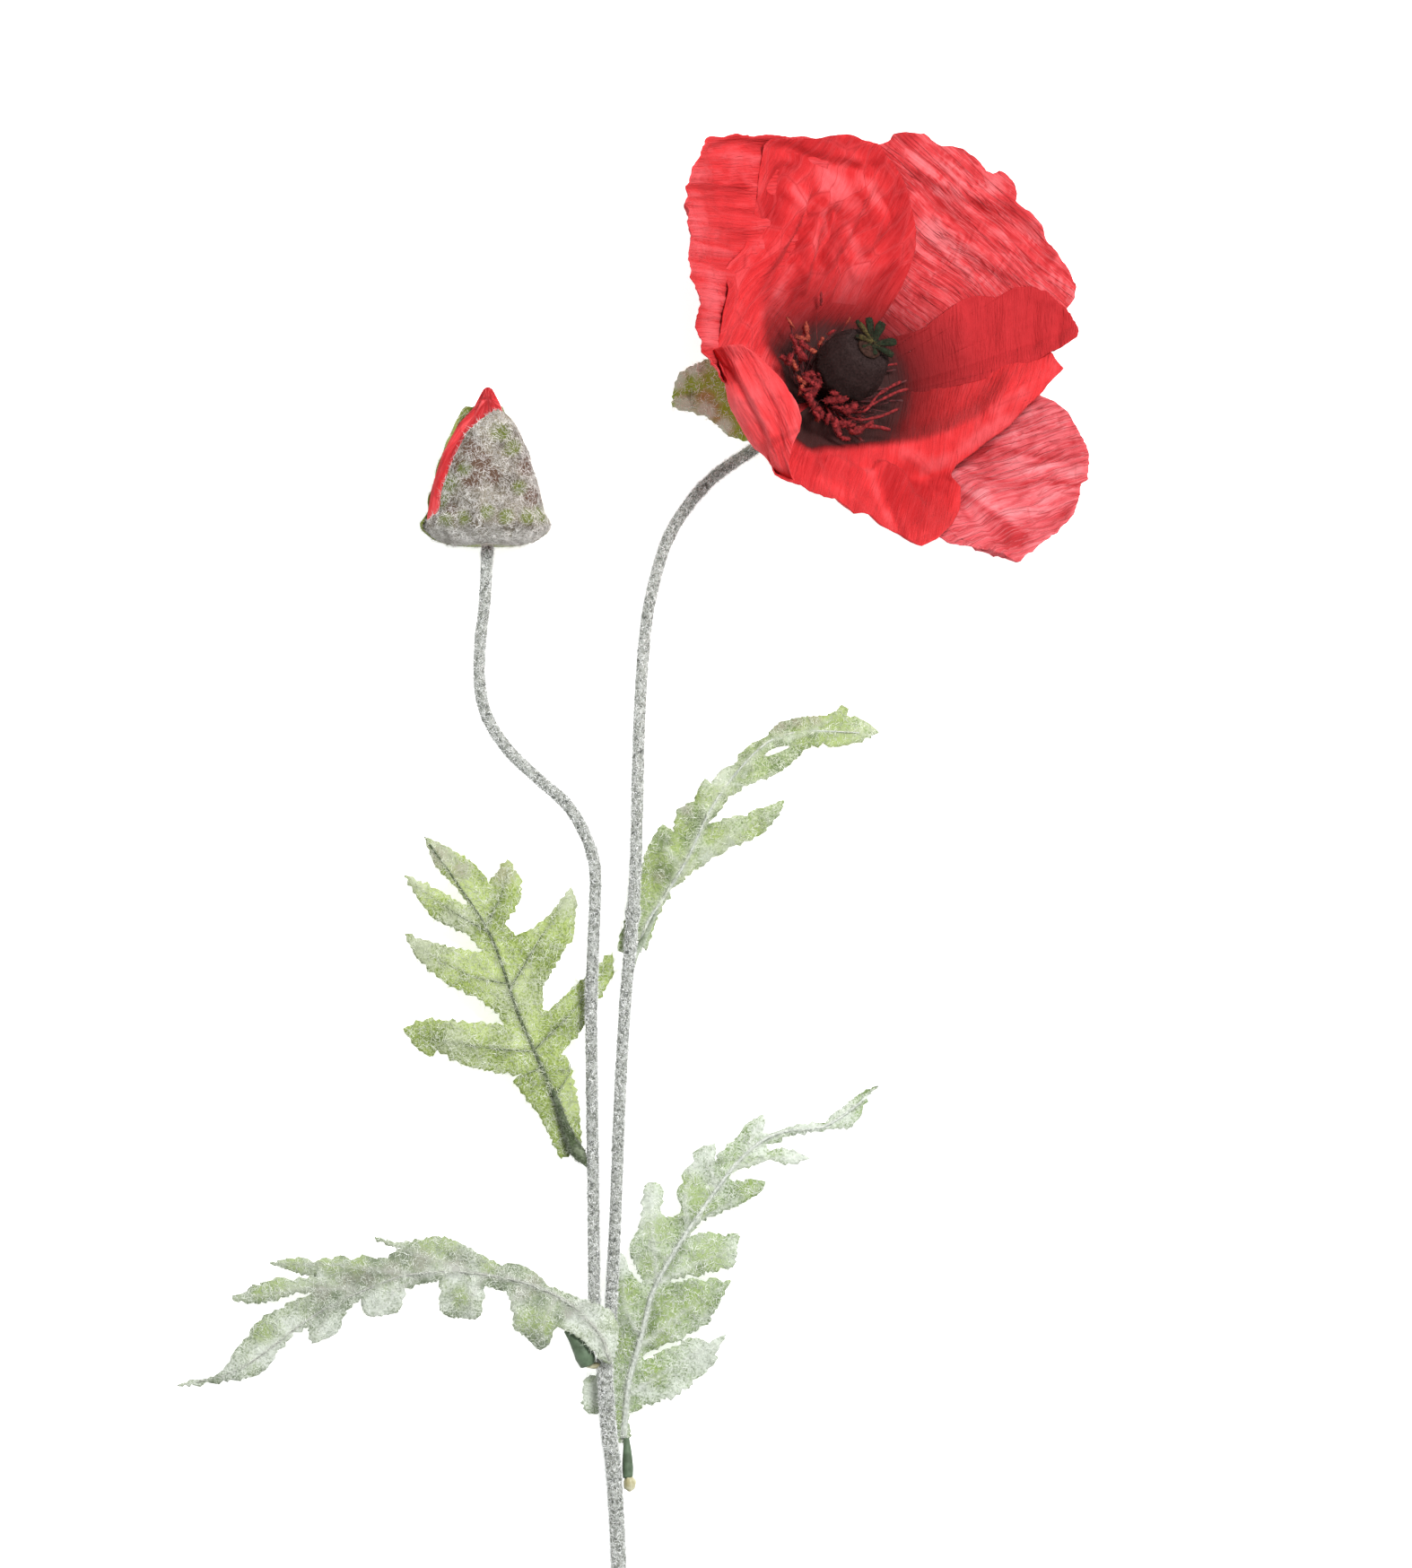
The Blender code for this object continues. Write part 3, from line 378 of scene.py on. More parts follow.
# Leaves and the bloom's sepals: outlines and veins as seen from above, midribs with their heights, how much
# the blade climbs across its midrib, and how much its edges bend away.
LEAVES = {
    "leaf_left": {
        "outline": [
            (-41, 105.4), (-36.6, 103.6), (-30.6, 100), (-27.6, 97), (-26.6, 95), (-22.6, 100.4),
            (-19.6, 96.4), (-19.4, 92), (-23, 86), (-20.6, 83.4), (-16.6, 85), (-12.6, 88.4), (-8.4, 94.2),
            (-7.2, 91.4), (-7.6, 84), (-10.6, 79), (-14.6, 72), (-14.6, 67), (-13.2, 66.6), (-8.6, 71),
            (-2.6, 76.4), (0.8, 79.6), (1.2, 75), (-5.6, 63), (-10.6, 57), (-9.2, 56.4), (-6.6, 46),
            (-6.0, 37), (-10.4, 33.6), (-11.6, 36), (-15.6, 44), (-21.2, 51), (-19.2, 52.8), (-23.6, 52.8),
            (-31.6, 54.4), (-38.2, 58), (-39.6, 56.4), (-42.6, 58.4), (-45.8, 62.6), (-40.6, 64.8),
            (-29.6, 64), (-23.2, 63.6), (-24.4, 66), (-29.6, 70), (-35.6, 72.4), (-42.6, 78.4),
            (-45.4, 83.8), (-35.6, 80.8), (-27.4, 79.4), (-31.6, 84), (-38.6, 87), (-41.6, 90.6),
            (-45.4, 96.8), (-38.6, 94), (-32.6, 90.4), (-30.2, 89), (-33.6, 94), (-38.6, 99),
        ],
        "midrib": [
            (-8.4, 35, 5.6), (-12.2, 48, 5.5), (-19.6, 65, 5.2), (-26, 83, 4.8), (-33.6, 95, 4.2),
            (-41, 105.4, 3),
        ],
        "veins": [
            [(-16.8, 57.6), (-27, 58.4), (-40, 60.6)], [(-22, 72.6), (-31, 74.6), (-42, 80.8)],
            [(-26.4, 84), (-34, 88.4), (-43.4, 94.8)], [(-21.6, 72), (-15, 83), (-9, 92.4)],
            [(-16.8, 57.6), (-7, 67.6), (0, 77.6)], [(-27, 86), (-24, 92), (-22, 98.6)],
            [(-12.6, 47), (-9, 52), (-8.4, 55)], [(-15, 54), (-18, 52.6), (-20, 51.8)],
        ],
        "rise": -0.05,
        "droop": -0.0035,
    },
    "leaf_lower_left": {
        "outline": [
            (0.8, -11.6), (2, -8), (2.4, -4), (1.2, -0.8), (-1.2, 1), (-3.6, 1.6), (-7.6, 3.2),
            (-10.6, 4.4), (-13.6, 5.6), (-15.6, 8), (-18, 9.6), (-20.6, 10.4), (-23, 10.4), (-23.6, 9.8),
            (-26.6, 11.4), (-29.6, 13), (-32.6, 14.8), (-35.6, 16), (-38.6, 16.6), (-41.6, 15.6),
            (-44, 15.2), (-47.6, 15), (-49.6, 15.6), (-52, 16.4), (-49.6, 14.6), (-46, 13.8), (-47.6, 13),
            (-49.2, 11.6), (-51.6, 11.4), (-53.6, 12), (-55.6, 11.8), (-57.2, 11), (-58.6, 12), (-60.2, 12),
            (-61.6, 11.2), (-63.2, 11.6), (-65.6, 10.6), (-67.6, 11.6), (-70, 11.4), (-72, 11.2),
            (-74, 10.6), (-75.6, 10.4), (-73.6, 9.8), (-70.6, 8.8), (-67.2, 7.8), (-64.6, 7.4), (-67.6, 7),
            (-70.6, 6.6), (-73.2, 7.2), (-75.6, 6.4), (-77.6, 5.4), (-79.6, 5.2), (-80.6, 4), (-82, 3.4),
            (-84, 2.4), (-81.6, 2), (-78.8, 1.4), (-75.6, 2), (-72.6, 2.8), (-69.2, 4), (-66, 3.8),
            (-67.6, 2.8), (-70, 2), (-72.6, 0.4), (-75.6, -0.8), (-77.6, -2.4), (-79.6, -4), (-80, -6),
            (-82, -7.6), (-83.6, -9.6), (-84.4, -11.6), (-86, -13.6), (-87.6, -15), (-91.2, -15.6),
            (-94.6, -16.2), (-96, -16.9), (-92.6, -16.7), (-88.6, -16.2), (-83.6, -15.6), (-79.6, -15),
            (-76.6, -13.6), (-75.2, -12), (-73.6, -9), (-71.6, -7), (-70, -5), (-67.6, -4), (-66, -2.8),
            (-66.6, -5), (-66, -7.4), (-63.6, -6.6), (-61.2, -5.6), (-59.6, -4), (-59.4, -2), (-58.4, 0),
            (-56.6, 1.6), (-55, 2.6), (-54.6, 0), (-53.6, -1.2), (-51.2, -1.2), (-48.4, -0.8), (-46.4, 0.2),
            (-45.8, 2.4), (-45.2, 5), (-41.6, 6), (-37.6, 6.6), (-37.2, 4), (-37.6, 1.6), (-37, -0.4),
            (-35.6, -1.4), (-32.6, -1.6), (-29.6, -2), (-28.4, -1), (-28, 2), (-27.4, 5.6), (-24.6, 4.6),
            (-22.6, 4.4), (-21.6, 2), (-21, -1), (-21, -4), (-18.6, -5.4), (-16.6, -7.6), (-15.2, -8.8),
            (-13.2, -7.6), (-12.2, -4.4), (-11.2, -3.6), (-10, -4.2), (-7.6, -5.2), (-5.2, -7),
            (-2.8, -9.4), (-1.2, -11.4),
        ],
        "midrib": [
            (0.4, -11, 9.2), (-1.4, -6, 9.3), (-4.6, -2, 9.4), (-8.6, 1.6, 9.6), (-15, 5, 9.8),
            (-22, 7, 9.6), (-30, 8.4, 9.2), (-38, 8.6, 8.4), (-46, 7.6, 7.4), (-54, 4.6, 6), (-62, 1, 4.6),
            (-70, -4.4, 3.2), (-78, -10.6, 2), (-86, -15, 1.4), (-96, -16.8, 1),
        ],
        "veins": [
            [(-12, 2.4), (-14, -2), (-15.4, -7.4)], [(-18, 5.6), (-21, 2), (-21.4, -1.6)],
            [(-27, 8.4), (-30, 4), (-30.6, -1)], [(-41, 8), (-48, 4), (-51.4, -0.8)],
            [(-56, 5), (-62, 0), (-65.4, -6)], [(-20, 6.6), (-26, 10), (-36, 15)],
            [(-30, 8.6), (-40, 11.6), (-50.6, 15.4)], [(-43.6, 8), (-58, 10), (-73, 10.4)],
            [(-56, 5), (-70, 4.4), (-82, 2.6)], [(-8, 0.4), (-4, 1.6), (0, 2.4)],
        ],
        "rise": 0.0,
        "droop": -0.012,
    },
    "leaf_lower_right": {
        "outline": [
            (2.2, -29.6), (4.4, -29), (5, -27.4), (4.4, -25), (4.6, -23), (7.6, -22), (7.6, -21),
            (11.6, -20.6), (11.6, -19.8), (16, -19), (16.4, -17.6), (18.8, -16.8), (18.8, -15.6),
            (20.8, -14.8), (22, -13.2), (23.6, -12), (24, -9.6), (25, -7.6), (26.2, -5.6), (24.4, -6.2),
            (22.4, -7.4), (20.4, -6.4), (18, -6.2), (15.4, -8), (13.4, -8.6), (11.4, -9.4), (10, -10.6),
            (8, -11.2), (7.6, -10.4), (8.4, -9.6), (10, -8.8), (12, -8), (13.2, -7.2), (16.4, -6.8),
            (17.4, -5.2), (19.6, -4.8), (20.4, -3.6), (22.6, -2.8), (22.8, -1.2), (24.4, 0.6), (25.2, 2.8),
            (26.4, 4.8), (27.4, 6.8), (25.6, 6.2), (24, 7.2), (21.4, 6.4), (18.8, 7.2), (16.4, 6.2),
            (14.4, 6), (12.6, 6.6), (15, 7), (18, 8), (21.4, 7.8), (21.6, 8.8), (24.4, 8.4), (24.8, 9.6),
            (27.6, 9.4), (28.4, 11.6), (28.8, 14.4), (29.2, 17), (27.6, 17.2), (26, 16.4), (24, 17),
            (21.6, 17.2), (19.4, 16.8), (18, 16), (18.4, 17.2), (19.6, 18.8), (20.8, 20), (22.4, 20.8),
            (24.4, 21.4), (26, 22.4), (27.6, 22.8), (29.2, 23.6), (30.8, 24.4), (32, 25.2), (33.6, 26),
            (34.8, 27.6), (35, 28.6), (33.4, 29), (32, 29.2), (30, 28.6), (28, 28.6), (26.8, 29.4),
            (27.2, 30.4), (28.8, 31.2), (30.4, 31.8), (32.4, 32.2), (34.4, 33), (36, 33.6), (38, 33),
            (40.4, 32.6), (43.4, 33.2), (45, 33.8), (44, 34.4), (42.4, 35), (40, 35.8), (38, 36),
            (36, 35.4), (35.4, 36), (35.2, 37), (36.8, 37.2), (39.4, 38.6), (42.4, 39.4), (46.4, 39.8),
            (49.4, 40.4), (54.4, 40.6), (54.8, 41.6), (56, 42.8), (56.6, 44), (56.8, 45.6), (58, 46.4),
            (57.4, 47.6), (58.8, 48.8), (60.2, 49.8), (58.4, 49.2), (56.4, 48.4), (54.8, 47.2), (53.4, 46),
            (52, 44.8), (50.4, 44), (49.2, 42.8), (48.4, 41.6), (46.4, 41.6), (43.4, 41.4), (40.4, 40.8),
            (38, 39.8), (36, 39.2), (34.4, 39.6), (34.8, 41), (34.6, 43.4), (33.8, 43.4), (33, 42.6),
            (31.6, 42), (30.4, 41.2), (29.8, 40), (29, 38.6), (28, 37.6), (26.4, 37), (26, 35.8),
            (24.8, 35.2), (24.2, 33.6), (23.8, 31.6), (23.5, 33.6), (24, 35.6), (23.8, 37.2), (22.4, 36.8),
            (20.8, 36.4), (19.6, 35.6), (18.8, 34.4), (19.2, 33.2), (18, 32), (16.2, 30), (16.8, 28.4),
            (15.8, 27.6), (15.2, 26), (15.8, 24.4), (16.4, 23), (16, 21.6), (14.8, 20.6), (13, 20.6),
            (11.8, 21.6), (11.6, 23), (12.2, 25), (12.4, 26.4), (11.6, 28), (10.4, 28.6), (8.8, 28.4),
            (8, 27.2), (8, 25.6), (7.4, 24.4), (7.8, 22.4), (7.2, 20), (6.8, 18), (6, 16.4), (4.8, 14.8),
            (4.8, 13), (5.6, 11), (6.6, 9), (8, 5.8), (6.8, 6.2), (5.6, 7.6), (4.6, 9), (4, 11),
            (3.4, 12.4), (2.4, 12.8), (2.2, 11.2), (1.6, 9.6), (1.8, 7), (1.6, 4), (1.2, 1), (0.8, -3),
            (1, -8), (1.2, -14), (-3, -14.6), (-4.8, -15), (-5.6, -17), (-5.6, -22), (-3.6, -23.2),
            (-1, -22.6), (1.2, -22), (1.6, -24), (2, -26),
        ],
        "midrib": [
            (3.4, -28.6, 1.9), (4.2, -20, 1.7), (4.8, -15, 1.8), (6.8, -8, 2.4), (8.2, -2.6, 3),
            (9.4, 2.4, 3.6), (11, 6.4, 4), (16.4, 15.6, 4.6), (22.4, 24.4, 4.8), (28, 32, 4.4),
            (34.4, 37.8, 3.4), (41, 40.2, 2.8), (49, 41, 2.2), (54.4, 45, 1.8), (60.2, 49.6, 1.2),
        ],
        "veins": [
            [(4.6, -19), (14, -13), (24, -7)], [(7.4, -8), (16, -1), (26, 5.6)],
            [(11, 6), (19, 10), (28, 14)], [(19, 19), (27, 23.6), (33.6, 27.6)],
            [(27.6, 31.4), (36, 33.6), (43.4, 34)], [(7.6, -7), (4, 0), (2.8, 10)],
            [(11, 6), (10, 16), (9.6, 27)], [(18, 17.6), (17, 25), (19.6, 33)],
            [(24, 27.6), (22.8, 32), (23.4, 36.4)], [(30.4, 33.6), (32, 38), (34, 42.4)],
        ],
        "rise": 0.0,
        "droop": -0.002,
    },
    "leaf_upper_right": {
        "outline": [
            (8.4, 80), (9.2, 82.4), (10, 85), (11, 88), (12.4, 90.4), (14.4, 94.2), (17.2, 96),
            (16.8, 96.8), (20.4, 98.8), (22.4, 100), (23, 101), (25.4, 101.6), (26.8, 103.2), (30.8, 104.6),
            (34.4, 106.2), (35.4, 107.6), (37.2, 109.4), (38.4, 111.2), (39.2, 113.6), (36.8, 112.8),
            (34.4, 111.8), (32.4, 111.4), (30.8, 110), (28.8, 110.2), (26.8, 109.6), (24.4, 108.8),
            (21.6, 107.8), (23, 109.4), (24.4, 111), (25.6, 112.6), (26.8, 114.6), (29.6, 115.6),
            (30, 116.8), (32, 117.2), (34, 118.4), (36, 118.8), (37.6, 119.8), (40.4, 121.4), (41.2, 122.6),
            (42.8, 123.6), (43.4, 124.8), (45.4, 125.8), (48, 126.2), (50.4, 125.4), (54.8, 126.4),
            (58.8, 128), (60.4, 128.6), (59.4, 129.6), (58, 130.8), (56.4, 131.6), (53, 132.4), (53.4, 134),
            (52, 134.8), (50.8, 133.4), (48.4, 132.4), (42.4, 132), (40, 131.4), (37.6, 130.4),
            (36.4, 129.4), (35.4, 127.8), (33.4, 126.8), (31.4, 125.8), (30, 124.4), (28, 121.4),
            (26.8, 121.2), (25.2, 120.4), (24, 118.8), (23, 117.2), (21.6, 118.4), (20.6, 117), (19.8, 115),
            (19.2, 113.4), (16.8, 112.2), (15.4, 111.6), (15.2, 110), (14.6, 106.4), (13.6, 107.2),
            (12.2, 108.2), (10.4, 106), (8.4, 102), (6.8, 95), (5.6, 91), (4.4, 87.6), (3.2, 84.8),
            (2.4, 82), (2.2, 80), (3.4, 79.6), (4, 81), (5.2, 83), (6.8, 82),
        ],
        "midrib": [
            (7, 79.6, 3.9), (8.6, 86, 4.2), (13.4, 93.4, 5.4), (18.4, 102, 8.6), (22, 110, 11),
            (26.4, 117, 12.4), (31.4, 122.8, 13), (36.4, 127, 12), (44.4, 129, 10), (60.4, 128.4, 5),
        ],
        "veins": [
            [(13, 94), (24, 104), (37.6, 112)], [(16, 99), (13, 103), (13, 106.6)],
            [(22, 109), (21, 113), (22, 117)], [(30, 119), (32, 123), (37, 128)],
            [(40, 127), (46, 129.6), (51.6, 133.6)], [(28, 117), (33, 117.4), (38, 120.6)],
        ],
        "rise": -0.2,
        "droop": 0.0,
    },
    "bloom_sepal_left": {
        "outline": [
            (14.4, 201), (14.4, 204), (15.4, 207.6), (17.4, 209.6), (22.4, 211.8), (31, 210), (37.6, 205.6),
            (40.7, 202), (40.3, 200), (37.6, 196.8), (33, 192.8), (26.8, 194.6), (24.4, 197), (21.4, 199.2),
            (17.4, 200.2),
        ],
        "midrib": [(40.6, 201, 15.9), (33, 201.4, 14), (24, 203, 13), (14.4, 202.4, 14)],
        "veins": [],
        "rise": 0.0,
        "droop": 0.012,
    },
    "bloom_sepal_right": {
        "outline": [
            (47.6, 197.6), (51, 197.2), (58, 194.4), (65, 189), (69, 180), (61, 181.6), (53.6, 185.6),
            (49, 191.4), (47.0, 196.2),
        ],
        "midrib": [(47.4, 196.8, 14.2), (54, 191, 12.6), (62, 185, 12.2), (69, 180, 13)],
        "veins": [],
        "rise": 0.0,
        "droop": 0.012,
    },
}
# Where the flock lies thickest, where other dyes show, and where shade is painted: (x, y, how far).
FROST = {
    "leaf_left": [
        (-43, 96, 4), (-40, 103, 4), (-36, 101, 3), (-32, 98, 2.6), (-9, 91, 4), (-42, 82, 3), (-35, 88, 3),
    ],
    "leaf_lower_left": [
        (-84, -13, 5), (-92, -16, 4), (-76, -10, 5), (-62, -4, 4), (-52, 1, 4), (-47, 3, 3), (-36, 1, 3),
        (-30, 4, 3), (-31, 0, 3), (-5, -3, 4), (-2, -7, 4), (-8, -2, 3), (0, -9, 3), (-45, 8, 2),
        (-40, 8.4, 2), (-34, 8, 2), (-29, 8.4, 2), (-70, -3, 3), (-64, 7.6, 2),
    ],
    "leaf_lower_right": [
        (8.8, 25, 4), (8.4, 21, 3.5), (22.4, 35, 3), (19.4, 32, 3), (20.4, -12, 5), (14.4, -17, 5),
        (8.4, -18, 3.5), (24.4, -8, 4), (2.4, 11, 2.4), (28, 15, 2.4), (27.4, 12, 2.2), (34.4, 40, 3),
        (52.4, 43, 6), (42.4, 34, 4), (33.4, 36, 3), (-5, -18, 4), (21.4, -1, 3), (45, 41, 3),
    ],
    "leaf_upper_right": [(17, 112.4, 2), (22, 100.6, 2.4), (27, 104, 2), (24.4, 119, 2)],
    "bloom_sepal_left": [
        (15, 207.4, 2.6), (17, 201.6, 2.4), (21.6, 200.2, 2.4), (19, 210, 2.4), (26, 196.6, 2),
    ],
    "bud_sepal_front": [
        (-37, 172.8, 2.4), (-31, 172.4, 2.6), (-25, 172.4, 2.6), (-19, 172.4, 2.6), (-14, 173, 2.2),
    ],
}
GREEN = {
    "leaf_lower_left": [
        (-70, 10.4, 2.5), (-62, 10.4, 2.5), (-55.6, 10, 2.5), (-73.6, 5.6, 2.5), (-77.6, 4, 2),
        (-77, -5, 3), (-35.6, 14, 3), (-40, 14.6, 2.5), (-26.6, 9.6, 2.5), (-13.6, -3, 3), (-32.6, 3, 2.5),
        (-17.6, -2, 3),
    ],
    "leaf_lower_right": [
        (9.4, 10, 3), (11.4, 18, 4), (20.4, 25, 4), (18.4, 28, 3), (22.4, 12, 5), (13.4, 0, 5),
        (11.4, -5, 3.5), (19.4, 2, 4), (4.4, 4, 3), (2.8, -8, 3), (10.4, -14, 3), (31.4, 27, 3),
        (2.4, -24, 2.5), (14, 22, 3),
    ],
    "leaf_upper_right": [
        (9.4, 95, 3), (10, 100, 3), (16, 108, 2.6), (14.6, 104, 2), (50, 129.6, 6), (43, 127.6, 3),
        (24, 106, 3), (33, 107.6, 3), (30, 119.6, 2), (21, 114, 2),
    ],
    "bloom_sepal_left": [
        (14.8, 203.2, 2.2), (16.4, 205, 2.4), (19.4, 206.6, 2.6), (23.4, 207.2, 2.8), (25.8, 204.6, 2.6),
        (27, 200.6, 2.4), (28.4, 197, 2.6), (30.8, 193.8, 2.8),
    ],
    "bud_sepal_front": [
        (-23.6, 195, 2.4), (-21.4, 192, 2.2), (-35.6, 184, 2.6), (-37.2, 180, 2.2), (-36, 175.6, 1.7),
        (-31.6, 176.2, 1.7), (-26.8, 177.4, 1.7), (-22.8, 176.6, 1.7), (-18, 176.4, 1.8), (-14.8, 177, 2.2),
        (-20, 183, 1.8), (-32, 187, 1.6),
    ],
}
# Brown dye patches; on the lower left leaf they are grey-brown painted shade along its ridge.
BROWN_AND_SHADE_PATCHES = {
    "leaf_left": [(-23.4, 97, 3), (-38, 101, 3), (-33, 98, 2.6)],
    "leaf_lower_left": [
        (-57.6, 6, 3), (-53.6, 7, 2.6), (-63.6, 4, 2.6), (-41.6, 11, 3), (-16.6, 6, 2.4), (-19, 4, 2.4),
        (-48, 9, 2.6), (-34, 10.6, 2.6), (-9, -0.6, 1.6),
    ],
    "leaf_upper_right": [
        (38, 130.2, 2), (42, 131.2, 1.8), (46, 131.4, 1.8), (17.4, 111.6, 1.6), (11.6, 97, 1.8),
    ],
    "bloom_sepal_left": [(22, 203, 2.6), (24.4, 200, 2.8), (27, 197, 2)],
    "bud_sepal_front": [
        (-30.4, 192, 2.4), (-28.2, 188.6, 2.6), (-30, 185, 2.4), (-33, 188, 2), (-25.4, 185.6, 2),
        (-18, 188, 2.4), (-17, 181, 2.2), (-35, 178.4, 1.6),
    ],
}
# Painted shade: fold shadows and the shaded undersides along the leaves' ridges, in each leaf's dark colour.
SHADE_PATCHES = {
    "leaf_lower_left": [
        (-25.6, 5.4, 1.8), (-23.4, 4.8, 1.8), (-28, 5.8, 1.5), (-44, 5.8, 1.5), (-41, 6.6, 1.5),
        (-38, 7, 1.4), (-11, -1.6, 1.6), (-21, 10.2, 1.4), (-45, 12.4, 1.6), (-48, 12.4, 1.4),
        (-60, 3, 1.8), (-55, 5, 1.8), (-64, -1, 1.5), (-70, 3, 1.4), (-52, 11.4, 1.4), (-35, 12, 1.4),
        (-15, 2, 1.5),
    ],
    "leaf_lower_right": [
        (9.6, -4, 1.8), (10.2, -1, 1.8), (12.6, 9, 1.8), (14.4, 11, 1.6), (9.4, -8, 1.4), (20.4, 9.6, 1.5),
        (11, 11.8, 1.2), (24.6, 33, 1.2), (16, 13.4, 1.4), (9.6, 2, 1.4),
    ],
    "leaf_upper_right": [
        (31, 123.6, 1.6), (33.6, 125.6, 1.4), (11.4, 98.4, 1.4), (13.6, 97.4, 1.3), (45.4, 128.4, 1.4),
        (22.6, 108.4, 1.1), (24.6, 111, 1.1), (26.2, 113.6, 1.1), (12.8, 104.6, 1.6), (30.4, 119.4, 1.2),
        (38, 126.4, 1),
    ],
}
# Strokes of painted shade and painted highlight along the petals' folds and crests, with some paler and
# deeper patches of the crepe: where each runs, its width and how strong it is.
SHADE_AND_TONE_STROKES = {
    "petal_inner_top": [
        ([(29, 259.6), (38, 260.6), (50, 261.6)], 1.3, -1.1), ([(38, 254), (36.8, 242)], 2.6, -0.9),
        ([(43.4, 255), (50.4, 259), (56.4, 260.4)], 2.4, -0.9),
        ([(61.4, 256), (65.4, 244), (64.4, 232)], 3.4, -0.8), ([(47.4, 253), (53.4, 247)], 2.8, 1.1),
        ([(44.4, 240), (47.4, 232)], 0.8, 0.7), ([(52.4, 242), (56.4, 234)], 1.0, 0.7),
        ([(37.4, 226), (40.4, 232)], 0.8, 0.6), ([(41.4, 242), (43.4, 232), (40.4, 224)], 1.1, -0.8),
        ([(49.4, 244), (51.4, 234)], 1.1, -0.8), ([(56.4, 249), (59.4, 240)], 1.3, -0.8),
        ([(41, 250), (44, 245)], 1.2, 0.8), ([(57, 251), (62, 245)], 1.4, 0.8),
        ([(46, 247), (49, 240)], 0.8, 0.6),
    ],
    "petal_outer_top": [
        ([(81.4, 247), (92.4, 239), (98.4, 234)], 1.1, -1),
        ([(72.4, 246.6), (87.4, 237), (97.2, 231.6)], 0.9, -0.8),
        ([(63.8, 254.2), (76.8, 244.6), (81, 239.2)], 0.9, -0.8), ([(68, 258), (72, 255)], 2.6, 0.7),
        ([(73, 241), (80, 232)], 3.4, 0.8), ([(78, 254), (85, 250)], 2.6, 0.6),
        ([(88, 241), (97, 238)], 1.8, 0.7), ([(98, 230), (103, 226)], 2.2, 0.5),
        ([(70, 250), (76, 248)], 1.6, 0.7), ([(84, 229), (92, 227)], 2.0, 0.4),
        ([(66, 236), (72, 228)], 1.2, -0.5), ([(76, 257), (84, 252)], 0.8, -0.6),
        ([(90, 247), (96, 241)], 1.0, -0.5),
    ],
    "petal_outer_left": [
        ([(19.4, 252), (18.8, 232)], 2.6, 0.7), ([(23.4, 230), (22.4, 216)], 2.2, 0.9),
        ([(18.4, 249.4), (30.4, 249.4)], 0.7, -1.2), ([(18.4, 246.8), (30.4, 247.2)], 0.6, -1),
        ([(32.4, 259), (42.4, 259)], 1.2, -1.1), ([(24, 258), (32, 256)], 1.8, 0.6),
        ([(30, 240), (31, 234)], 1.2, -0.5),
    ],
    "petal_inner_bottom": [
        ([(44, 187), (56, 183), (66, 178), (76, 188)], 5.0, -0.6), ([(66, 185), (70, 176)], 3.4, -0.7),
        ([(86, 200), (92, 204)], 1.2, 0.6), ([(57.4, 186), (60.4, 180), (63.4, 174)], 1.1, 1.0),
        ([(47, 184.6), (52, 181.4)], 1.2, 0.6), ([(70, 187), (80, 192), (88, 198)], 1.4, 0.9),
        ([(61.4, 188), (63, 180), (65.4, 172)], 0.7, -1.4), ([(66, 190.4), (76.4, 188)], 1.8, 0.9),
        ([(44, 190), (56, 186)], 1.8, -0.3), ([(80, 193), (90, 199)], 1.4, 0.6),
        ([(56, 187), (61, 176)], 1.2, 0.5),
    ],
    "petal_outer_right": [
        ([(88, 172.6), (91, 171)], 2, -1.1), ([(70.4, 189), (86, 192), (100, 190)], 0.6, -0.9),
        ([(70.4, 189), (88, 184), (104, 184)], 0.6, -0.8), ([(70.4, 188), (84, 178), (94, 171)], 0.6, -0.9),
        ([(74, 186), (80, 176)], 0.8, -0.6), ([(86, 196), (100, 196)], 0.6, -0.6),
        ([(90, 188), (103, 187)], 1.6, 0.5), ([(80, 182), (90, 176)], 1.8, 0.5),
    ],
    "petal_outer_front": [
        ([(32, 203), (35, 196)], 3, 0.8), ([(25.4, 210.4), (34.4, 194), (36.4, 188)], 0.5, -0.5),
        ([(26.8, 211.2), (35.4, 198)], 0.4, -0.4), ([(38, 199), (36.8, 192)], 0.4, -0.4),
        ([(41.4, 206), (41.8, 194)], 1.2, 0.9), ([(27, 206), (31, 198)], 1.4, 0.7),
        ([(30, 201), (36, 191)], 1.4, 0.6),
    ],
}
# A gap inside a leaf's outline.
LEAF_HOLES = {
    "leaf_upper_right": [
        (34.4, 123.4), (35.6, 124.6), (37.6, 125.5), (40, 125.8), (40.6, 125.4), (39, 124.6), (37.2, 123.9),
        (35.6, 123.3),
    ],
}
LEAF_THICKNESS = 0.5
LEAF_CELL = 0.9


# --- Colour and materials -------------------------------------------------------------------------------

def linear(code):
    """A linear colour from an sRGB hex code."""
    parts = [int(code[i:i + 2], 16) / 255 for i in (1, 3, 5)]
    return (*[c / 12.92 if c <= 0.04045 else ((c + 0.055) / 1.055) ** 2.4 for c in parts], 1.0)


def add(material, kind, links=None, stops=None, **settings):
    """Adds a node: its settings, the values or sockets that its inputs take, and a colour ramp's stops."""
    node = material.node_tree.nodes.new(kind)
    for name, value in settings.items():
        setattr(node, name, value)
    for name, value in (links or {}).items():
        if isinstance(value, bpy.types.NodeSocket):
            material.node_tree.links.new(value, node.inputs[name])
        else:
            node.inputs[name].default_value = value
    if stops:
        ramp = node.color_ramp.elements
        while len(ramp) < len(stops):
            ramp.new(1.0)
        for element, (position, code) in zip(ramp, stops):
            element.position = position
            element.color = linear(code)
    return node


def figure(material, operation, *values, **settings):
    """The result of a sum on values or sockets."""
    links = dict(enumerate(values))
    return add(material, "ShaderNodeMath", links, operation=operation, **settings).outputs[0]


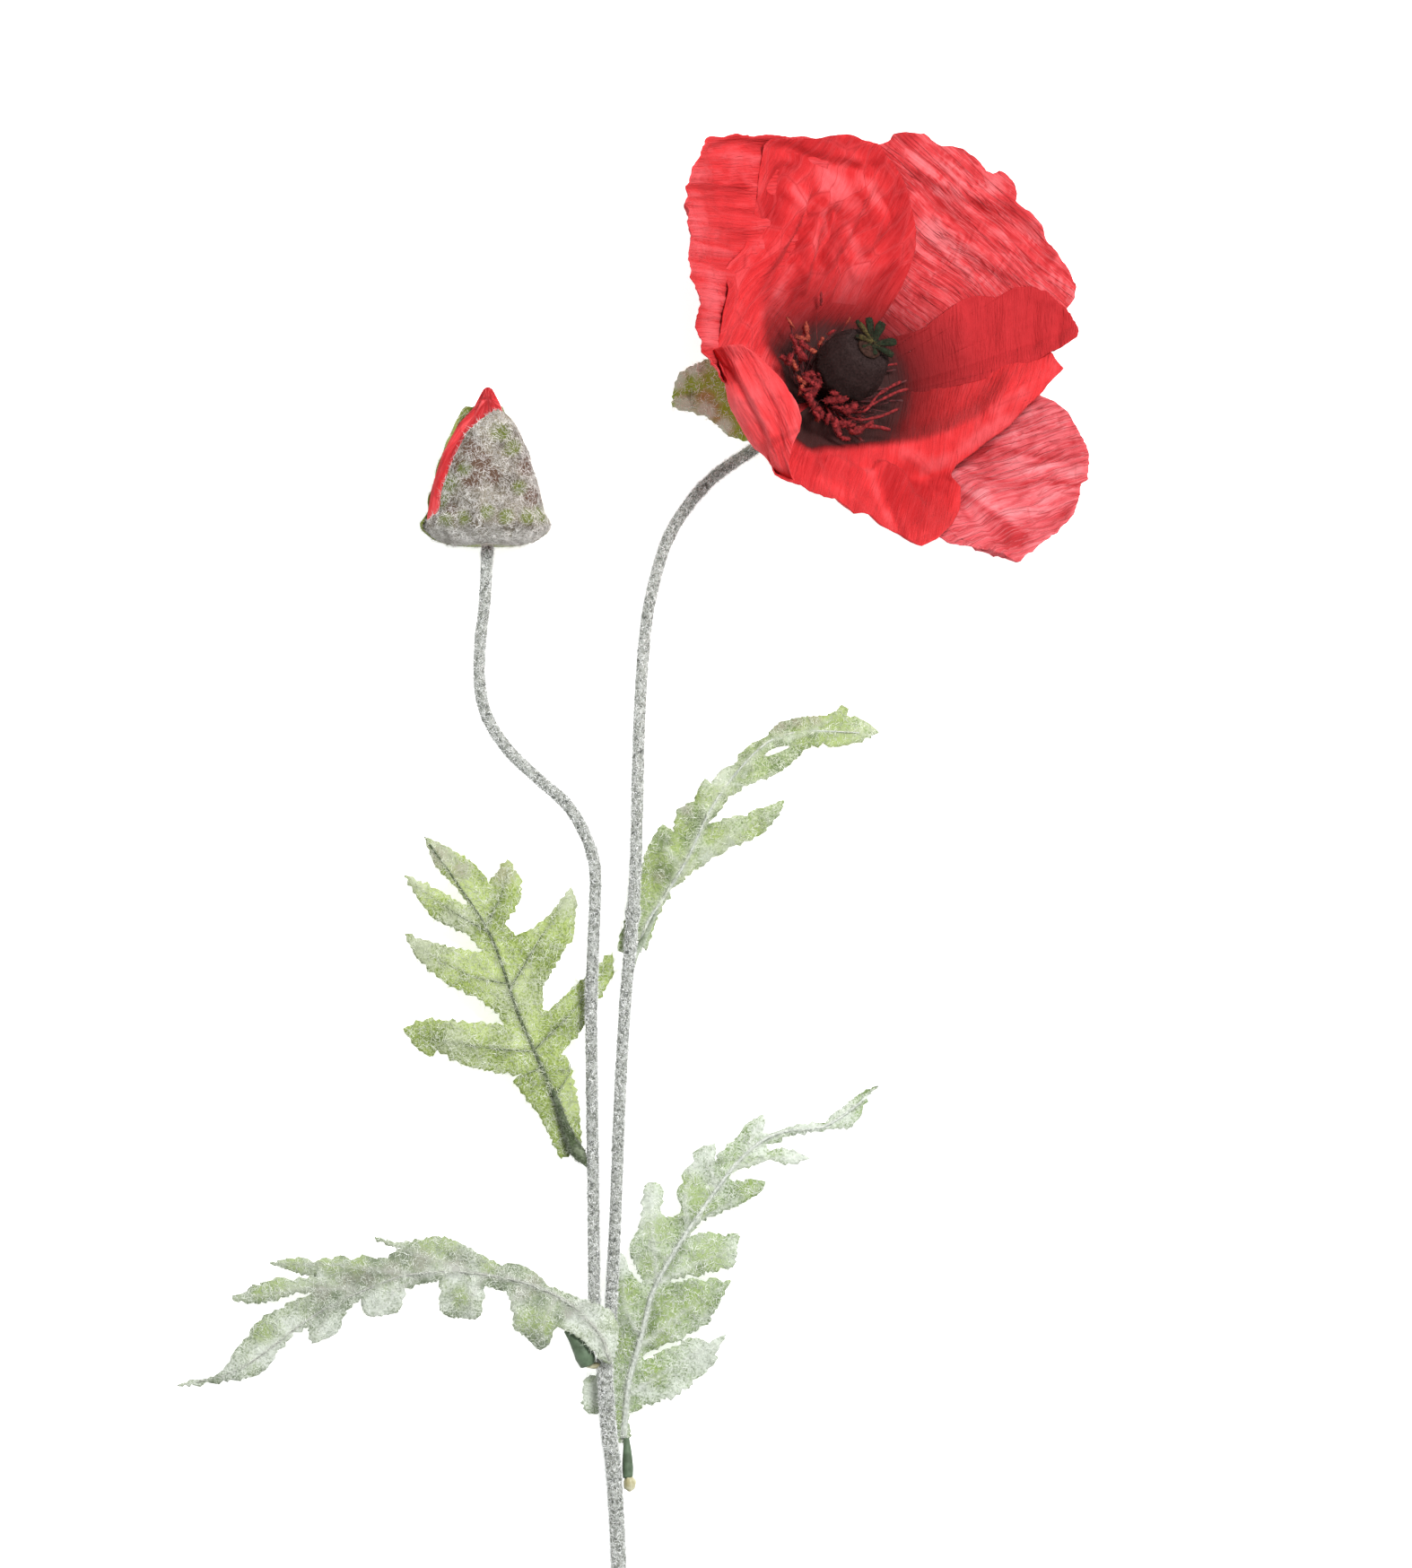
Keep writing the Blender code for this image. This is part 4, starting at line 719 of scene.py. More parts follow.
def scaled(material, value, low, high, at_low=0.0, at_high=1.0):
    """A value carried from one range onto another."""
    ends = {"Value": value, "From Min": low, "From Max": high, "To Min": at_low, "To Max": at_high}
    return add(material, "ShaderNodeMapRange", ends).outputs[0]


def kept(material, name):
    """The number that mark() kept for each vertex."""
    return add(material, "ShaderNodeAttribute", attribute_name=name).outputs["Fac"]


def clouded(material, place, scale=1.0, **inputs):
    """A noise over these places."""
    return add(material, "ShaderNodeTexNoise", {"Vector": place, "Scale": scale, **inputs}).outputs["Fac"]


def drawn_out(material, uv, across, along, shift=(0, 0, 0)):
    """The petals' map, scaled across the grain and along it."""
    scale = {"Vector": uv, "Scale": (across, along, 1), "Location": shift}
    return add(material, "ShaderNodeMapping", scale).outputs[0]


def lines(material, values, level, reach, most):
    """Thin lines where a noise crosses a level."""
    gap = figure(material, "ABSOLUTE", figure(material, "SUBTRACT", values, level))
    return scaled(material, gap, 0.0, reach, most, 0.0)


def dyed(material, value, *stops):
    """A colour for each value, by the stops of a ramp."""
    return add(material, "ShaderNodeValToRGB", {"Fac": value}, stops=stops).outputs[0]


def new_material(name, roughness, sheen=0.0, sheen_tint="#ffffff", specular=0.3):
    """A material and its shader."""
    material = bpy.data.materials.new(name)
    material.use_nodes = True
    shader = material.node_tree.nodes["Principled BSDF"]
    shader.inputs["Roughness"].default_value = roughness
    shader.inputs["Specular IOR Level"].default_value = specular
    shader.inputs["Sheen Weight"].default_value = sheen
    shader.inputs["Sheen Tint"].default_value = linear(sheen_tint)
    return material, shader


def mix(material, factor, first, second, blend_type="MIX"):
    """Adds a colour mix node. Sockets 6 and 7 are its two colours."""
    node = add(material, "ShaderNodeMix", data_type="RGBA", blend_type=blend_type)
    for socket, value in ((node.inputs[0], factor), (node.inputs[6], first), (node.inputs[7], second)):
        if isinstance(value, bpy.types.NodeSocket):
            material.node_tree.links.new(value, socket)
        else:
            socket.default_value = value
    return node.outputs[2]


def wire(material, shader, colour, height, strength, distance):
    """Joins a colour and a relief height to a material's shader."""
    bump = add(material, "ShaderNodeBump", {"Height": height, "Strength": strength, "Distance": distance})
    material.node_tree.links.new(colour, shader.inputs["Base Color"])
    material.node_tree.links.new(bump.outputs[0], shader.inputs["Normal"])
    return material


def crepe(name, pale, middle, deep, streak=0.5, cloud=0.5, crease=0.5, crumple=0.5):
    """Dyed crepe, pressed into fine pleats: painted highlights on the ridges, painted shade in the creases,
    and black at its foot, fading out through painted shade.
    """
    material, shader = new_material(name, roughness=0.75, sheen=0.06, sheen_tint="#ff9a9a", specular=0.12)
    uv = add(material, "ShaderNodeUVMap", uv_map="UVMap").outputs[0]
    # One unit of the map is a millimetre: streaks 0.5 mm wide and 8 mm long lie over clouds of 6 to 8 mm.
    streaks = clouded(material, drawn_out(material, uv, 2.0, 0.13), Detail=7, Roughness=0.8)
    clouds = clouded(material, drawn_out(material, uv, 0.16, 0.13), Detail=6, Distortion=0.9)
    # The pleats' ridges are painted paler and their hollows deeper: painted highlight and painted shade.
    shade = figure(material, "MULTIPLY_ADD", kept(material, "ridge"), 0.12, (1 - streak - cloud) / 2)
    # Painted shade and painted highlights from the petal's strokes.
    shade = figure(material, "MULTIPLY_ADD", kept(material, "shade_and_tone"), 0.13, shade)
    # Crumpled facets 4 mm wide and 11 mm long each catch the light a little differently.
    facets = {"Vector": drawn_out(material, uv, 0.24, 0.09), "Scale": 1.0}
    facet = add(material, "ShaderNodeTexVoronoi", facets).outputs["Color"]
    apart = figure(material, "SUBTRACT", facet, 0.5)
    for pattern, weight in ((apart, 0.16 * crumple), (streaks, streak), (clouds, cloud)):
        shade = figure(material, "MULTIPLY_ADD", pattern, weight, shade)
    colour = dyed(material, shade, (0.36, deep), (0.50, middle), (0.66, pale))
    # Sharp dark lines of painted shade, in creases about 2 mm apart, follow the grain.
    runs = clouded(material, drawn_out(material, uv, 0.48, 0.032), Detail=3, Distortion=0.4)
    creases = lines(material, runs, 0.5, 0.022, crease)
    colour = mix(material, creases, colour, linear(deep))
    # Finer pale lines of painted highlight stand between them, along the edges of the pleats.
    worn = clouded(material, drawn_out(material, uv, 1.1, 0.055, (31, 7, 0)), Detail=3, Distortion=0.5)
    colour = mix(material, lines(material, worn, 0.52, 0.03, crease * 0.8), colour, linear(pale))
    # Each facet has a painted highlight along its border with a line of painted shade in it, except under the
    # blotch.
    between = add(material, "ShaderNodeTexVoronoi", facets, feature="DISTANCE_TO_EDGE").outputs["Distance"]
    blotch_and_shade = kept(material, "blotch_and_shade")
    clear = figure(material, "SUBTRACT", 1.0, blotch_and_shade)
    for reach, most, dye in ((0.08, 0.3 * crumple, pale), (0.03, 0.75 * crumple, deep)):
        border = scaled(material, between, 0.0, reach, most, 0.0)
        colour = mix(material, figure(material, "MULTIPLY", border, clear), colour, linear(dye))
    # The blotch thins out along the creases, through maroon to red; its wider maroon fade is partly painted
    # shade deep in the bowl.
    uneven = figure(material, "MULTIPLY_ADD", streaks, 0.3, -0.15)
    blotch_and_shade_reach = figure(material, "ADD", blotch_and_shade, figure(material, "MULTIPLY", blotch_and_shade, uneven))
    blotch_and_shade_veil = dyed(material, blotch_and_shade_reach, (0.0, "#ffffff"), (0.2, "#e6eeee"), (0.45, "#cac6c6"), (0.75, "#989292"),
                (0.9, "#605a5a"), (1.0, "#423c3c"))
    colour = mix(material, 1.0, colour, blotch_and_shade_veil, "MULTIPLY")
    colour = mix(material, scaled(material, blotch_and_shade_reach, 0.8, 1.05, 0.0, 0.9), colour, linear("#352422"))
    threads = clouded(material, drawn_out(material, uv, 2.2, 0.3), Detail=4)
    relief = figure(material, "MULTIPLY_ADD", creases, -0.8, threads)
    return wire(material, shader, colour, relief, 0.8, 0.0006)


def flocked(name, dark, middle, light, grain_mm=0.45, cloud_mm=6.0, patches=()):
    """Short flock on glue: a fine grain over clouds where it lies thinner, and patches of another dye."""
    material, shader = new_material(name, roughness=0.95, sheen=0.1, specular=0.1)
    place = add(material, "ShaderNodeTexCoord").outputs["Object"]
    grain = clouded(material, place, 1 / (grain_mm * MM), Detail=3)
    clouds = clouded(material, place, 1 / (cloud_mm * MM), Detail=4)
    shade = figure(material, "MULTIPLY_ADD", grain, 0.55, clouds)
    colour = dyed(material, shade, (0.58, dark), (0.78, middle), (0.98, light))
    ragged = figure(material, "MULTIPLY_ADD", clouds, 0.9, -0.45)
    for kind, dye in patches:
        where = figure(material, "ADD", kept(material, kind), ragged)
        colour = mix(material, scaled(material, where, 0.2, 0.7, 0.0, 0.85), colour, linear(dye))
    return wire(material, shader, colour, grain, 0.8, 0.0003)


def leaf_cloth(name, dark, middle, light, vein, frost, bright, brown_and_shade="#8d877b"):
    """Flocked leaf cloth: mottled green, frosted where the flock lies thick, with veins of another colour."""
    material, shader = new_material(name, roughness=0.95, sheen=0.1, sheen_tint="#e8f0d8", specular=0.1)
    place = add(material, "ShaderNodeTexCoord").outputs["Object"]
    grain = clouded(material, place, 1 / (0.5 * MM), Detail=3, Roughness=0.6)
    clouds = clouded(material, place, 1 / (9 * MM), Detail=5)
    shade = figure(material, "MULTIPLY_ADD", grain, 0.8, clouds)
    colour = dyed(material, shade, (0.68, dark), (0.89, middle), (1.12, light))
    drifts = clouded(material, place, 1 / (14 * MM), Detail=3, Distortion=0.5)
    thick = figure(material, "MULTIPLY_ADD", grain, 0.9, drifts)
    thick = figure(material, "MULTIPLY_ADD", kept(material, "frost"), 0.28, thick)
    colour = mix(material, scaled(material, thick, 0.98, 1.24, 0.0, 0.85), colour, linear(frost))
    ragged = figure(material, "MULTIPLY_ADD", grain, 1.6, -0.8)
    # Green and brown dye patches, the brown also painted shade along a ridge, and dark patches of painted
    # shade.
    for kind, dye, most in (("green", bright, 0.75), ("brown_and_shade", brown_and_shade, 0.65), ("dark", dark, 0.85)):
        where = figure(material, "ADD", kept(material, kind), ragged)
        colour = mix(material, scaled(material, where, 0.2, 0.85, 0.0, most), colour, linear(dye))
    on_vein = kept(material, "vein")
    uneven = figure(material, "MULTIPLY_ADD", grain, 0.7, -0.3)
    veined = figure(material, "ADD", on_vein, uneven, use_clamp=True)
    shown = figure(material, "MULTIPLY", veined, on_vein, use_clamp=True)
    colour = mix(material, shown, colour, linear(vein))
    return wire(material, shader, colour, grain, 0.6, 0.0002)


def plain(name, dark, light, roughness, grain_mm, specular=0.4):
    """A material of two close colours in a fine grain."""
    material, shader = new_material(name, roughness=roughness, specular=specular)
    place = add(material, "ShaderNodeTexCoord").outputs["Object"]
    grain = clouded(material, place, 1 / (grain_mm * MM), Detail=4)
    colour = dyed(material, grain, (0.35, dark), (0.68, light))
    return wire(material, shader, colour, grain, 0.5, 0.0002)


# --- Making pieces --------------------------------------------------------------------------------------

def smoothly(low, high, value):
    """0 at low, 1 at high, and an even rise between."""
    share = np.clip((value - low) / (high - low), 0, 1)
    return share * share * (3 - 2 * share)


def rough(x, y, seed):
    """Noise from -1 to 1 at these places, for arrays of the same length."""
    return np.array([noise.noise((a, b, seed)) for a, b in zip(x.ravel(), y.ravel())]).reshape(x.shape)


def read_off(pairs, share):
    """Values read off a row of pairs, straight between one and the next."""
    places, values = zip(*pairs)
    return np.interp(share, places, values)


def read_smoothly(pairs, share):
    """The same, rounded off by averaging nearby places."""
    return sum(read_off(pairs, share + shift) for shift in (-0.03, -0.015, 0, 0.015, 0.03)) / 5


def catmull(a, b, c, d, u):
    """The place between b and c on the smooth curve through all four points."""
    bend, twist = 2 * a - 5 * b + 4 * c - d, 3 * b - a - 3 * c + d
    return 0.5 * (2 * b + (c - a) * u + bend * u ** 2 + twist * u ** 3)


def along_route(route, share):
    """Places along the smooth curve through a route's points."""
    points = np.array(route, dtype=float)
    ends = np.vstack([2 * points[0] - points[1], points, 2 * points[-1] - points[-2]])
    place = np.clip(share, 0, 1) * (len(points) - 1)
    i = np.minimum(place.astype(int), len(points) - 2)
    u = (place - i)[:, None]
    return catmull(ends[i], ends[i + 1], ends[i + 2], ends[i + 3], u)


def finish_piece(piece, name, materials, body="root"):
    """Names a piece, gives it its materials, and lets it stand for the frame's node of that name."""
    piece.name = name + "_dressed"
    piece.data.name = piece.name
    for material in materials:
        piece.data.materials.append(material)
    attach(piece, body)
    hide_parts(name)
    return piece


def vertices_of(piece):
    """A piece's vertices, in metres."""
    places = np.empty(len(piece.data.vertices) * 3, dtype=np.float32)
    piece.data.vertices.foreach_get("co", places)
    return places.reshape(-1, 3).astype(float)


def place_vertices(piece, places):
    """Sets a piece's vertices from millimetres from the fork."""
    piece.data.vertices.foreach_set("co", (places * MM + FORK).astype(np.float32).ravel())
    piece.data.update()


def mark(piece, name, values):
    """Keeps a number for each vertex for the material to read."""
    attribute = piece.data.attributes.new(name, "FLOAT", "POINT")
    attribute.data.foreach_set("value", values.astype(np.float32))


def thicken(piece, thickness):
    """A sheet becomes a wall, half to each side."""
    solid = piece.modifiers.new("Wall", "SOLIDIFY")
    solid.thickness = thickness * MM
    solid.offset = 0
    bpy.ops.object.modifier_apply(modifier=solid.name)


def patched(patches, spots):
    """How strongly patches show at these places as seen from above."""
    shows = np.zeros(len(spots))
    for x, y, reach in patches:
        shows = np.maximum(shows, np.exp(-((spots[:, 0] - x) ** 2 + (spots[:, 1] - y) ** 2) / reach ** 2))
    return shows


def mark_patches(piece, name, spots):
    """Keeps how strongly each kind of patch shows, for the material to read."""
    # The brown patches are partly, and the dark patches wholly, painted shade.
    for kind, patches in (("frost", FROST), ("green", GREEN), ("brown_and_shade", BROWN_AND_SHADE_PATCHES), ("dark", SHADE_PATCHES)):
        mark(piece, kind, patched(patches.get(name, ()), spots))


def add_grid(columns, rows):
    """A square grid, and each vertex's share of the way across and along it."""
    bpy.ops.object.select_all(action="DESELECT")
    bpy.ops.mesh.primitive_grid_add(x_subdivisions=columns, y_subdivisions=rows, size=1)
    piece = bpy.context.object
    places = vertices_of(piece) + 0.5
    bpy.ops.object.shade_smooth()
    return piece, places[:, 0], places[:, 1]


def add_turned(profile, base, axis, segments, rings, relief=None):
    """A ring extruded and resized along a profile, closed at both ends, then turned onto its axis."""
    steps = np.array(profile, dtype=float)
    lengths = np.concatenate([[0], np.cumsum(np.linalg.norm(np.diff(steps, axis=0), axis=1))])
    place = np.linspace(0, lengths[-1], rings + 2)[1:-1]
    radii = np.maximum(np.interp(place, lengths, steps[:, 0]), 0.02)
    heights = np.interp(place, lengths, steps[:, 1])
    bpy.ops.object.select_all(action="DESELECT")
    bpy.ops.mesh.primitive_circle_add(
        vertices=segments, radius=radii[0] * MM, fill_type="NGON", location=(0, 0, heights[0] * MM),
    )
    piece = bpy.context.object
    bpy.ops.object.transform_apply(location=True)
    bpy.ops.object.mode_set(mode="EDIT")
    bpy.ops.mesh.select_all(action="SELECT")
    for radius, height, last_radius, last_height in zip(radii[1:], heights[1:], radii, heights):
        rise = (0, 0, (height - last_height) * MM)
        bpy.ops.mesh.extrude_region_move(TRANSFORM_OT_translate={"value": rise})
        grow = radius / last_radius
        bpy.ops.transform.resize(value=(grow, grow, 1), center_override=(0, 0, height * MM))
    close_up()
    shape = vertices_of(piece) / MM
    radius, height = np.hypot(shape[:, 0], shape[:, 1]), shape[:, 2]
    turn = np.arctan2(shape[:, 1], shape[:, 0])
    if relief:
        radius, height = relief(radius, height, turn)
    side = unit(np.cross(axis, (0, 0, 1.0)))
    up = np.cross(side, axis)
    ring = side * np.cos(turn)[:, None] + up * np.sin(turn)[:, None]
    place_vertices(piece, base + np.array(axis) * height[:, None] + ring * radius[:, None])
    close_up()
    settle(piece)
    bpy.ops.object.shade_smooth()
    return piece


def settle(piece):
    """Lists a piece's faces in one order, because extruding lists them in another each time."""
    mesh = piece.data
    spots = vertices_of(piece).tolist()
    faces = []
    for face in mesh.polygons:
        corners = list(face.vertices)
        first = corners.index(min(corners))
        faces.append(corners[first:] + corners[:first])
    mesh.clear_geometry()
    mesh.from_pydata(spots, [], sorted(faces))
    mesh.update()


def close_up():
    """Fills the open rings of the piece in hand, and turns every face outwards."""
    if bpy.context.mode != "EDIT_MESH":
        bpy.ops.object.mode_set(mode="EDIT")
    bpy.ops.mesh.select_all(action="SELECT")
    bpy.ops.mesh.remove_doubles(threshold=0.000001)
    bpy.ops.mesh.select_all(action="DESELECT")
    bpy.ops.mesh.select_non_manifold()
    bpy.ops.mesh.fill_holes(sides=0)
    bpy.ops.mesh.select_all(action="SELECT")
    bpy.ops.mesh.normals_make_consistent(inside=False)
    bpy.ops.object.mode_set(mode="OBJECT")


def add_tube(route, radius, rings, sides, swell=None):
    """A smooth path along a route, made a round mesh: swell gives its width along the way."""
    bpy.ops.object.select_all(action="DESELECT")
    bpy.ops.curve.primitive_nurbs_path_add()
    path = bpy.context.object
    share = np.linspace(0, 1, rings)
    path.data.splines.clear()
    spline = path.data.splines.new("POLY")
    spline.points.add(rings - 1)
    spots = along_route(route, share) * MM + FORK
    spline.points.foreach_set("co", np.column_stack([spots, np.ones(rings)]).ravel())
    spline.points.foreach_set("radius", swell(share) if swell else np.ones(rings))
    path.data.bevel_depth = radius * MM
    path.data.bevel_resolution = max(0, sides // 4 - 1)
    path.data.use_fill_caps = True
    path.data.twist_mode = "MINIMUM"
    bpy.ops.object.convert(target="MESH")
    piece = bpy.context.object
    bpy.ops.object.transform_apply()
    piece.data.materials.clear()
    close_up()
    bpy.ops.object.shade_smooth()
    return piece


def add_fibres(piece, per_mm2, length, width, seed, slot_index=1, stand=0.35, only=None):
    """Scatters flock over a piece and joins it on: each fibre is a slender closed spike, laid nearly flat."""
    rng = np.random.default_rng(seed)
    mesh = piece.data
    mesh.calc_loop_triangles()
    corners = np.array([t.vertices[:] for t in mesh.loop_triangles])
    spots = vertices_of(piece)
    a, b, c = spots[corners[:, 0]], spots[corners[:, 1]], spots[corners[:, 2]]
    cross = np.cross(b - a, c - a)
    area = np.linalg.norm(cross, axis=1) / 2
    if only is not None:
        area = area * only(((a + b + c) / 3 - FORK) / MM, unit(cross + 1e-12))
    count = int(area.sum() / MM ** 2 * per_mm2)
    chosen = rng.choice(len(area), count, p=area / area.sum())
    u, v = rng.random(count), rng.random(count)
    u, v = np.where(u + v > 1, 1 - u, u), np.where(u + v > 1, 1 - v, v)
    root = a[chosen] + (b - a)[chosen] * u[:, None] + (c - a)[chosen] * v[:, None]
    normal = unit(cross[chosen])
    flat = rng.normal(0, 1, (count, 3))
    flat = unit(flat - normal * np.sum(flat * normal, axis=1)[:, None])
    ahead = unit(flat + normal * (stand * rng.random(count) * 2)[:, None])
    side = unit(np.cross(ahead, normal))
    other = np.cross(ahead, side)
    reach = (rng.random(count) * 0.9 + 0.5)[:, None] * length * MM
    thick = (rng.random(count) * 0.6 + 0.7)[:, None] * width * MM / 2
    spikes = np.empty((count, 4, 3))
    for k in range(3):
        angle = k * math.tau / 3
        spikes[:, k] = root + (side * math.cos(angle) + other * math.sin(angle)) * thick
    spikes[:, 3] = root + ahead * reach
    first = np.arange(count)[:, None] * 4
    faces = np.concatenate([first + np.array(f) for f in ((0, 1, 3), (1, 2, 3), (2, 0, 3), (2, 1, 0))])
    flock = bpy.data.meshes.new("flock")
    flock.from_pydata(spikes.reshape(-1, 3).tolist(), [], faces.tolist())
    flock.polygons.foreach_set("material_index", [slot_index] * len(flock.polygons))
    hairs = bpy.data.objects.new("flock", flock)
    bpy.context.scene.collection.objects.link(hairs)
    for material in mesh.materials:
        flock.materials.append(material)
    join_parts([piece, hairs])


def choose(pieces):
    """Selects these pieces alone, with the first one active."""
    bpy.ops.object.select_all(action="DESELECT")
    for piece in pieces:
        piece.select_set(True)
    bpy.context.view_layer.objects.active = pieces[0]


def join_parts(parts):
    """Joins these into the first one."""
    choose(parts)
    bpy.ops.object.join()
    return bpy.context.object


def facing_up(centre, normal):
    """Leaves most of the flock off the side that lies on the table."""
    return np.where(normal[:, 2] > 0.1, 1.0, 0.12)


def thinned(name, centre):
    """Leaves most of the flock off the green and brown patches."""
    return 1 - 0.65 * patched(GREEN.get(name, []) + BROWN_AND_SHADE_PATCHES.get(name, []), centre)


# --- The bloom ------------------------------------------------------------------------------------------

def rim_point(angle):
    """The bowl's rim at these headings, in degrees from +X as seen from above."""
    headings = np.degrees(np.arctan2(RIM[:, 1] - BLOOM_BASE[1], RIM[:, 0] - BLOOM_BASE[0]))
    turns = np.append((headings - headings[0]) % 360, 360)
    turn = (angle - headings[0]) % 360
    i = np.searchsorted(turns, turn, side="right") - 1
    u = ((turn - turns[i]) / (turns[i + 1] - turns[i]))[:, None]
    count = len(RIM)
    return catmull(RIM[(i - 1) % count], RIM[i % count], RIM[(i + 1) % count], RIM[(i + 2) % count], u)


def unit(vectors):
    """The same directions, one long."""
    return vectors / np.linalg.norm(vectors, axis=-1, keepdims=True)


def bowl_point(angle, share):
    """Places on the bowl: from its seat to its rim, first along the base and then up the wall."""
    rim = rim_point(angle)
    arm = rim - BLOOM_BASE
    out = unit(arm - (arm @ BLOOM_AXIS)[:, None] * BLOOM_AXIS)
    seat = BLOOM_BASE + out * SEAT_RADIUS + BLOOM_AXIS * SEAT_HEIGHT
    length = np.linalg.norm(rim - seat, axis=1)[:, None]
    belly = seat + out * length * BELLY
    shoulder = rim - unit(out + BLOOM_AXIS) * length * SHOULDER
    share = share[:, None]
    back = 1 - share
    lower = seat * back ** 3 + belly * 3 * back ** 2 * share
    return lower + shoulder * 3 * back * share ** 2 + rim * share ** 3


def evened(values, reach=6):
    """Rounds off a row of values, each against those within reach before it and after it."""
    padded = np.pad(values, reach, mode="edge")
    count = 2 * reach + 1
    return sum(padded[k:k + len(values)] for k in range(count)) / count


def column_ends(edge, columns, layers):
    """The bowl's heading, share and layer at points along a petal's edge, and how far short of them it is."""
    edge = np.array(edge, dtype=float)
    arm = edge - BLOOM_BASE[:2]
    heading = np.unwrap(np.arctan2(arm[:, 1], arm[:, 0]))
    run = np.concatenate([[0], np.cumsum(np.linalg.norm(np.diff(edge, axis=0), axis=1))])
    # The columns are spaced partly by heading and partly by the length of the edge.
    place = 0.45 * (heading - heading[0]) / (heading[-1] - heading[0]) + 0.55 * run / run[-1]
    across = np.linspace(0, 1, columns)
    goal = np.stack([np.interp(across, place, edge[:, 0]), np.interp(across, place, edge[:, 1])], axis=1)
    goal_arm = goal - BLOOM_BASE[:2]
    goal_heading = np.degrees(np.unwrap(np.arctan2(goal_arm[:, 1], goal_arm[:, 0])))
    goal_reach = np.linalg.norm(goal_arm, axis=1)
    layer = np.interp(across, *zip(*layers))
    angle = goal_heading.copy()
    steps = np.linspace(0.12, 1.25, 90)
    for _ in range(FIT_ROUNDS):
        spots = [layered(angle, np.full(columns, step), layer)[0][:, :2] - BLOOM_BASE[:2] for step in steps]
        reach = np.array([np.linalg.norm(spot, axis=1) for spot in spots])
        share = np.empty(columns)
        for k in range(columns):
            past = np.argmax(reach[:, k] >= goal_reach[k]) if reach[:, k].max() > goal_reach[k] else 0
            if past:
                share[k] = np.interp(goal_reach[k], reach[past - 1:past + 1, k], steps[past - 1:past + 1])
            else:
                share[k] = min(steps[np.argmax(reach[:, k])], 1.0)
        share = evened(np.minimum(share, FIT_REACH))
        spot = layered(angle, share, layer)[0][:, :2] - BLOOM_BASE[:2]
        angle = angle + (goal_heading - np.degrees(np.arctan2(spot[:, 1], spot[:, 0])) + 180) % 360 - 180
    return angle, share, layer, goal - layered(angle, share, layer)[0][:, :2]


def layered(angle, share, layer):
    """Places on a layer of the bowl, and the ways along it and inward."""
    spot = bowl_point(angle, share)
    ahead = unit(bowl_point(angle, share + 0.01) - bowl_point(angle, share - 0.01))
    inward = unit(np.cross(ahead, bowl_point(angle + 0.5, share) - bowl_point(angle - 0.5, share)))
    return spot + inward * (layer * (SEAT_STEP + RIM_STEP * share))[:, None], ahead, inward


def pressed(spots):
    """Flattens the bloom where it would stand too high off the table."""
    over = np.maximum(spots[:, 2] - BLOOM_SHOULDER, 0)
    height = np.minimum(spots[:, 2], BLOOM_SHOULDER) + PRESSED_MOST * np.tanh(over / PRESSED_SPAN)
    return np.column_stack([spots[:, :2], height])


def fold_lift(spots, fold):
    """The height of a fold at these places as seen from above: full along its run, and gone past its ends."""
    path, height, right, left = fold
    gap, share, side = distance_to(path, spots)
    width = np.where(side > 0, right, left)
    lift = height * np.exp(-(gap / width) ** 2)
    return lift * smoothly(0, FOLD_FADE, share) * smoothly(0, FOLD_FADE, 1 - share)


def grained(spots, grain, seed):
    """Distances along and across a cloth's grain, which wanders a little."""
    turn = math.radians(grain)
    along = spots[:, 0] * math.cos(turn) + spots[:, 1] * math.sin(turn)
    across = -spots[:, 0] * math.sin(turn) + spots[:, 1] * math.cos(turn)
    return along, across + 2.2 * rough(along * 0.06, across * 0.05, seed)


def crinkle(along, across, seed, depths):
    """Pressed pleats along the grain, thin creases between them, and crinkles over them."""
    pleat, crease, cross = depths
    pleats = rough(across * 0.45, along * 0.06, seed + 1)
    lines = (1 - np.abs(rough(across * 0.62, along * 0.08, seed + 2))) ** 6
    crossed = rough(across * 0.22, along * 0.6, seed + 3)
    return pleat * pleats, 0.3 * crease - crease * lines, cross * crossed


def blotch_and_shade_at(spots):
    """How far the black blotch and the painted shade round it reach: all over the well of the bloom, and not
    past its edge.
    """
    arm = spots - np.array(BLOTCH_AND_SHADE_MIDDLE)
    gap = np.linalg.norm(arm, axis=1)
    heading = np.degrees(np.arctan2(arm[:, 1], arm[:, 0])) % 360
    full, gone = (np.interp(heading, BLOTCH_AND_SHADE_HEADINGS, reach) for reach in (BLOTCH_AND_SHADE_FULL, BLOTCH_AND_SHADE_GONE))
    past, _, side = distance_to(WELL_EDGE, spots)
    return (1 - smoothly(0, 1, (gap - full) / (gone - full))) * (
        1 - smoothly(-1.7, 0.7, np.where(side > 0, past, -past)))


def shade_and_tone_at(name, spots):
    """How much painted highlight or painted shade a petal's strokes give it at these places as seen from
    above.
    """
    shade_and_tone = np.zeros(len(spots))
    for path, width, strength in SHADE_AND_TONE_STROKES.get(name, ()):
        shade_and_tone += strength * np.exp(-(distance_to(path, spots)[0] / width) ** 2)
    return np.clip(shade_and_tone, -1.2, 1.2)


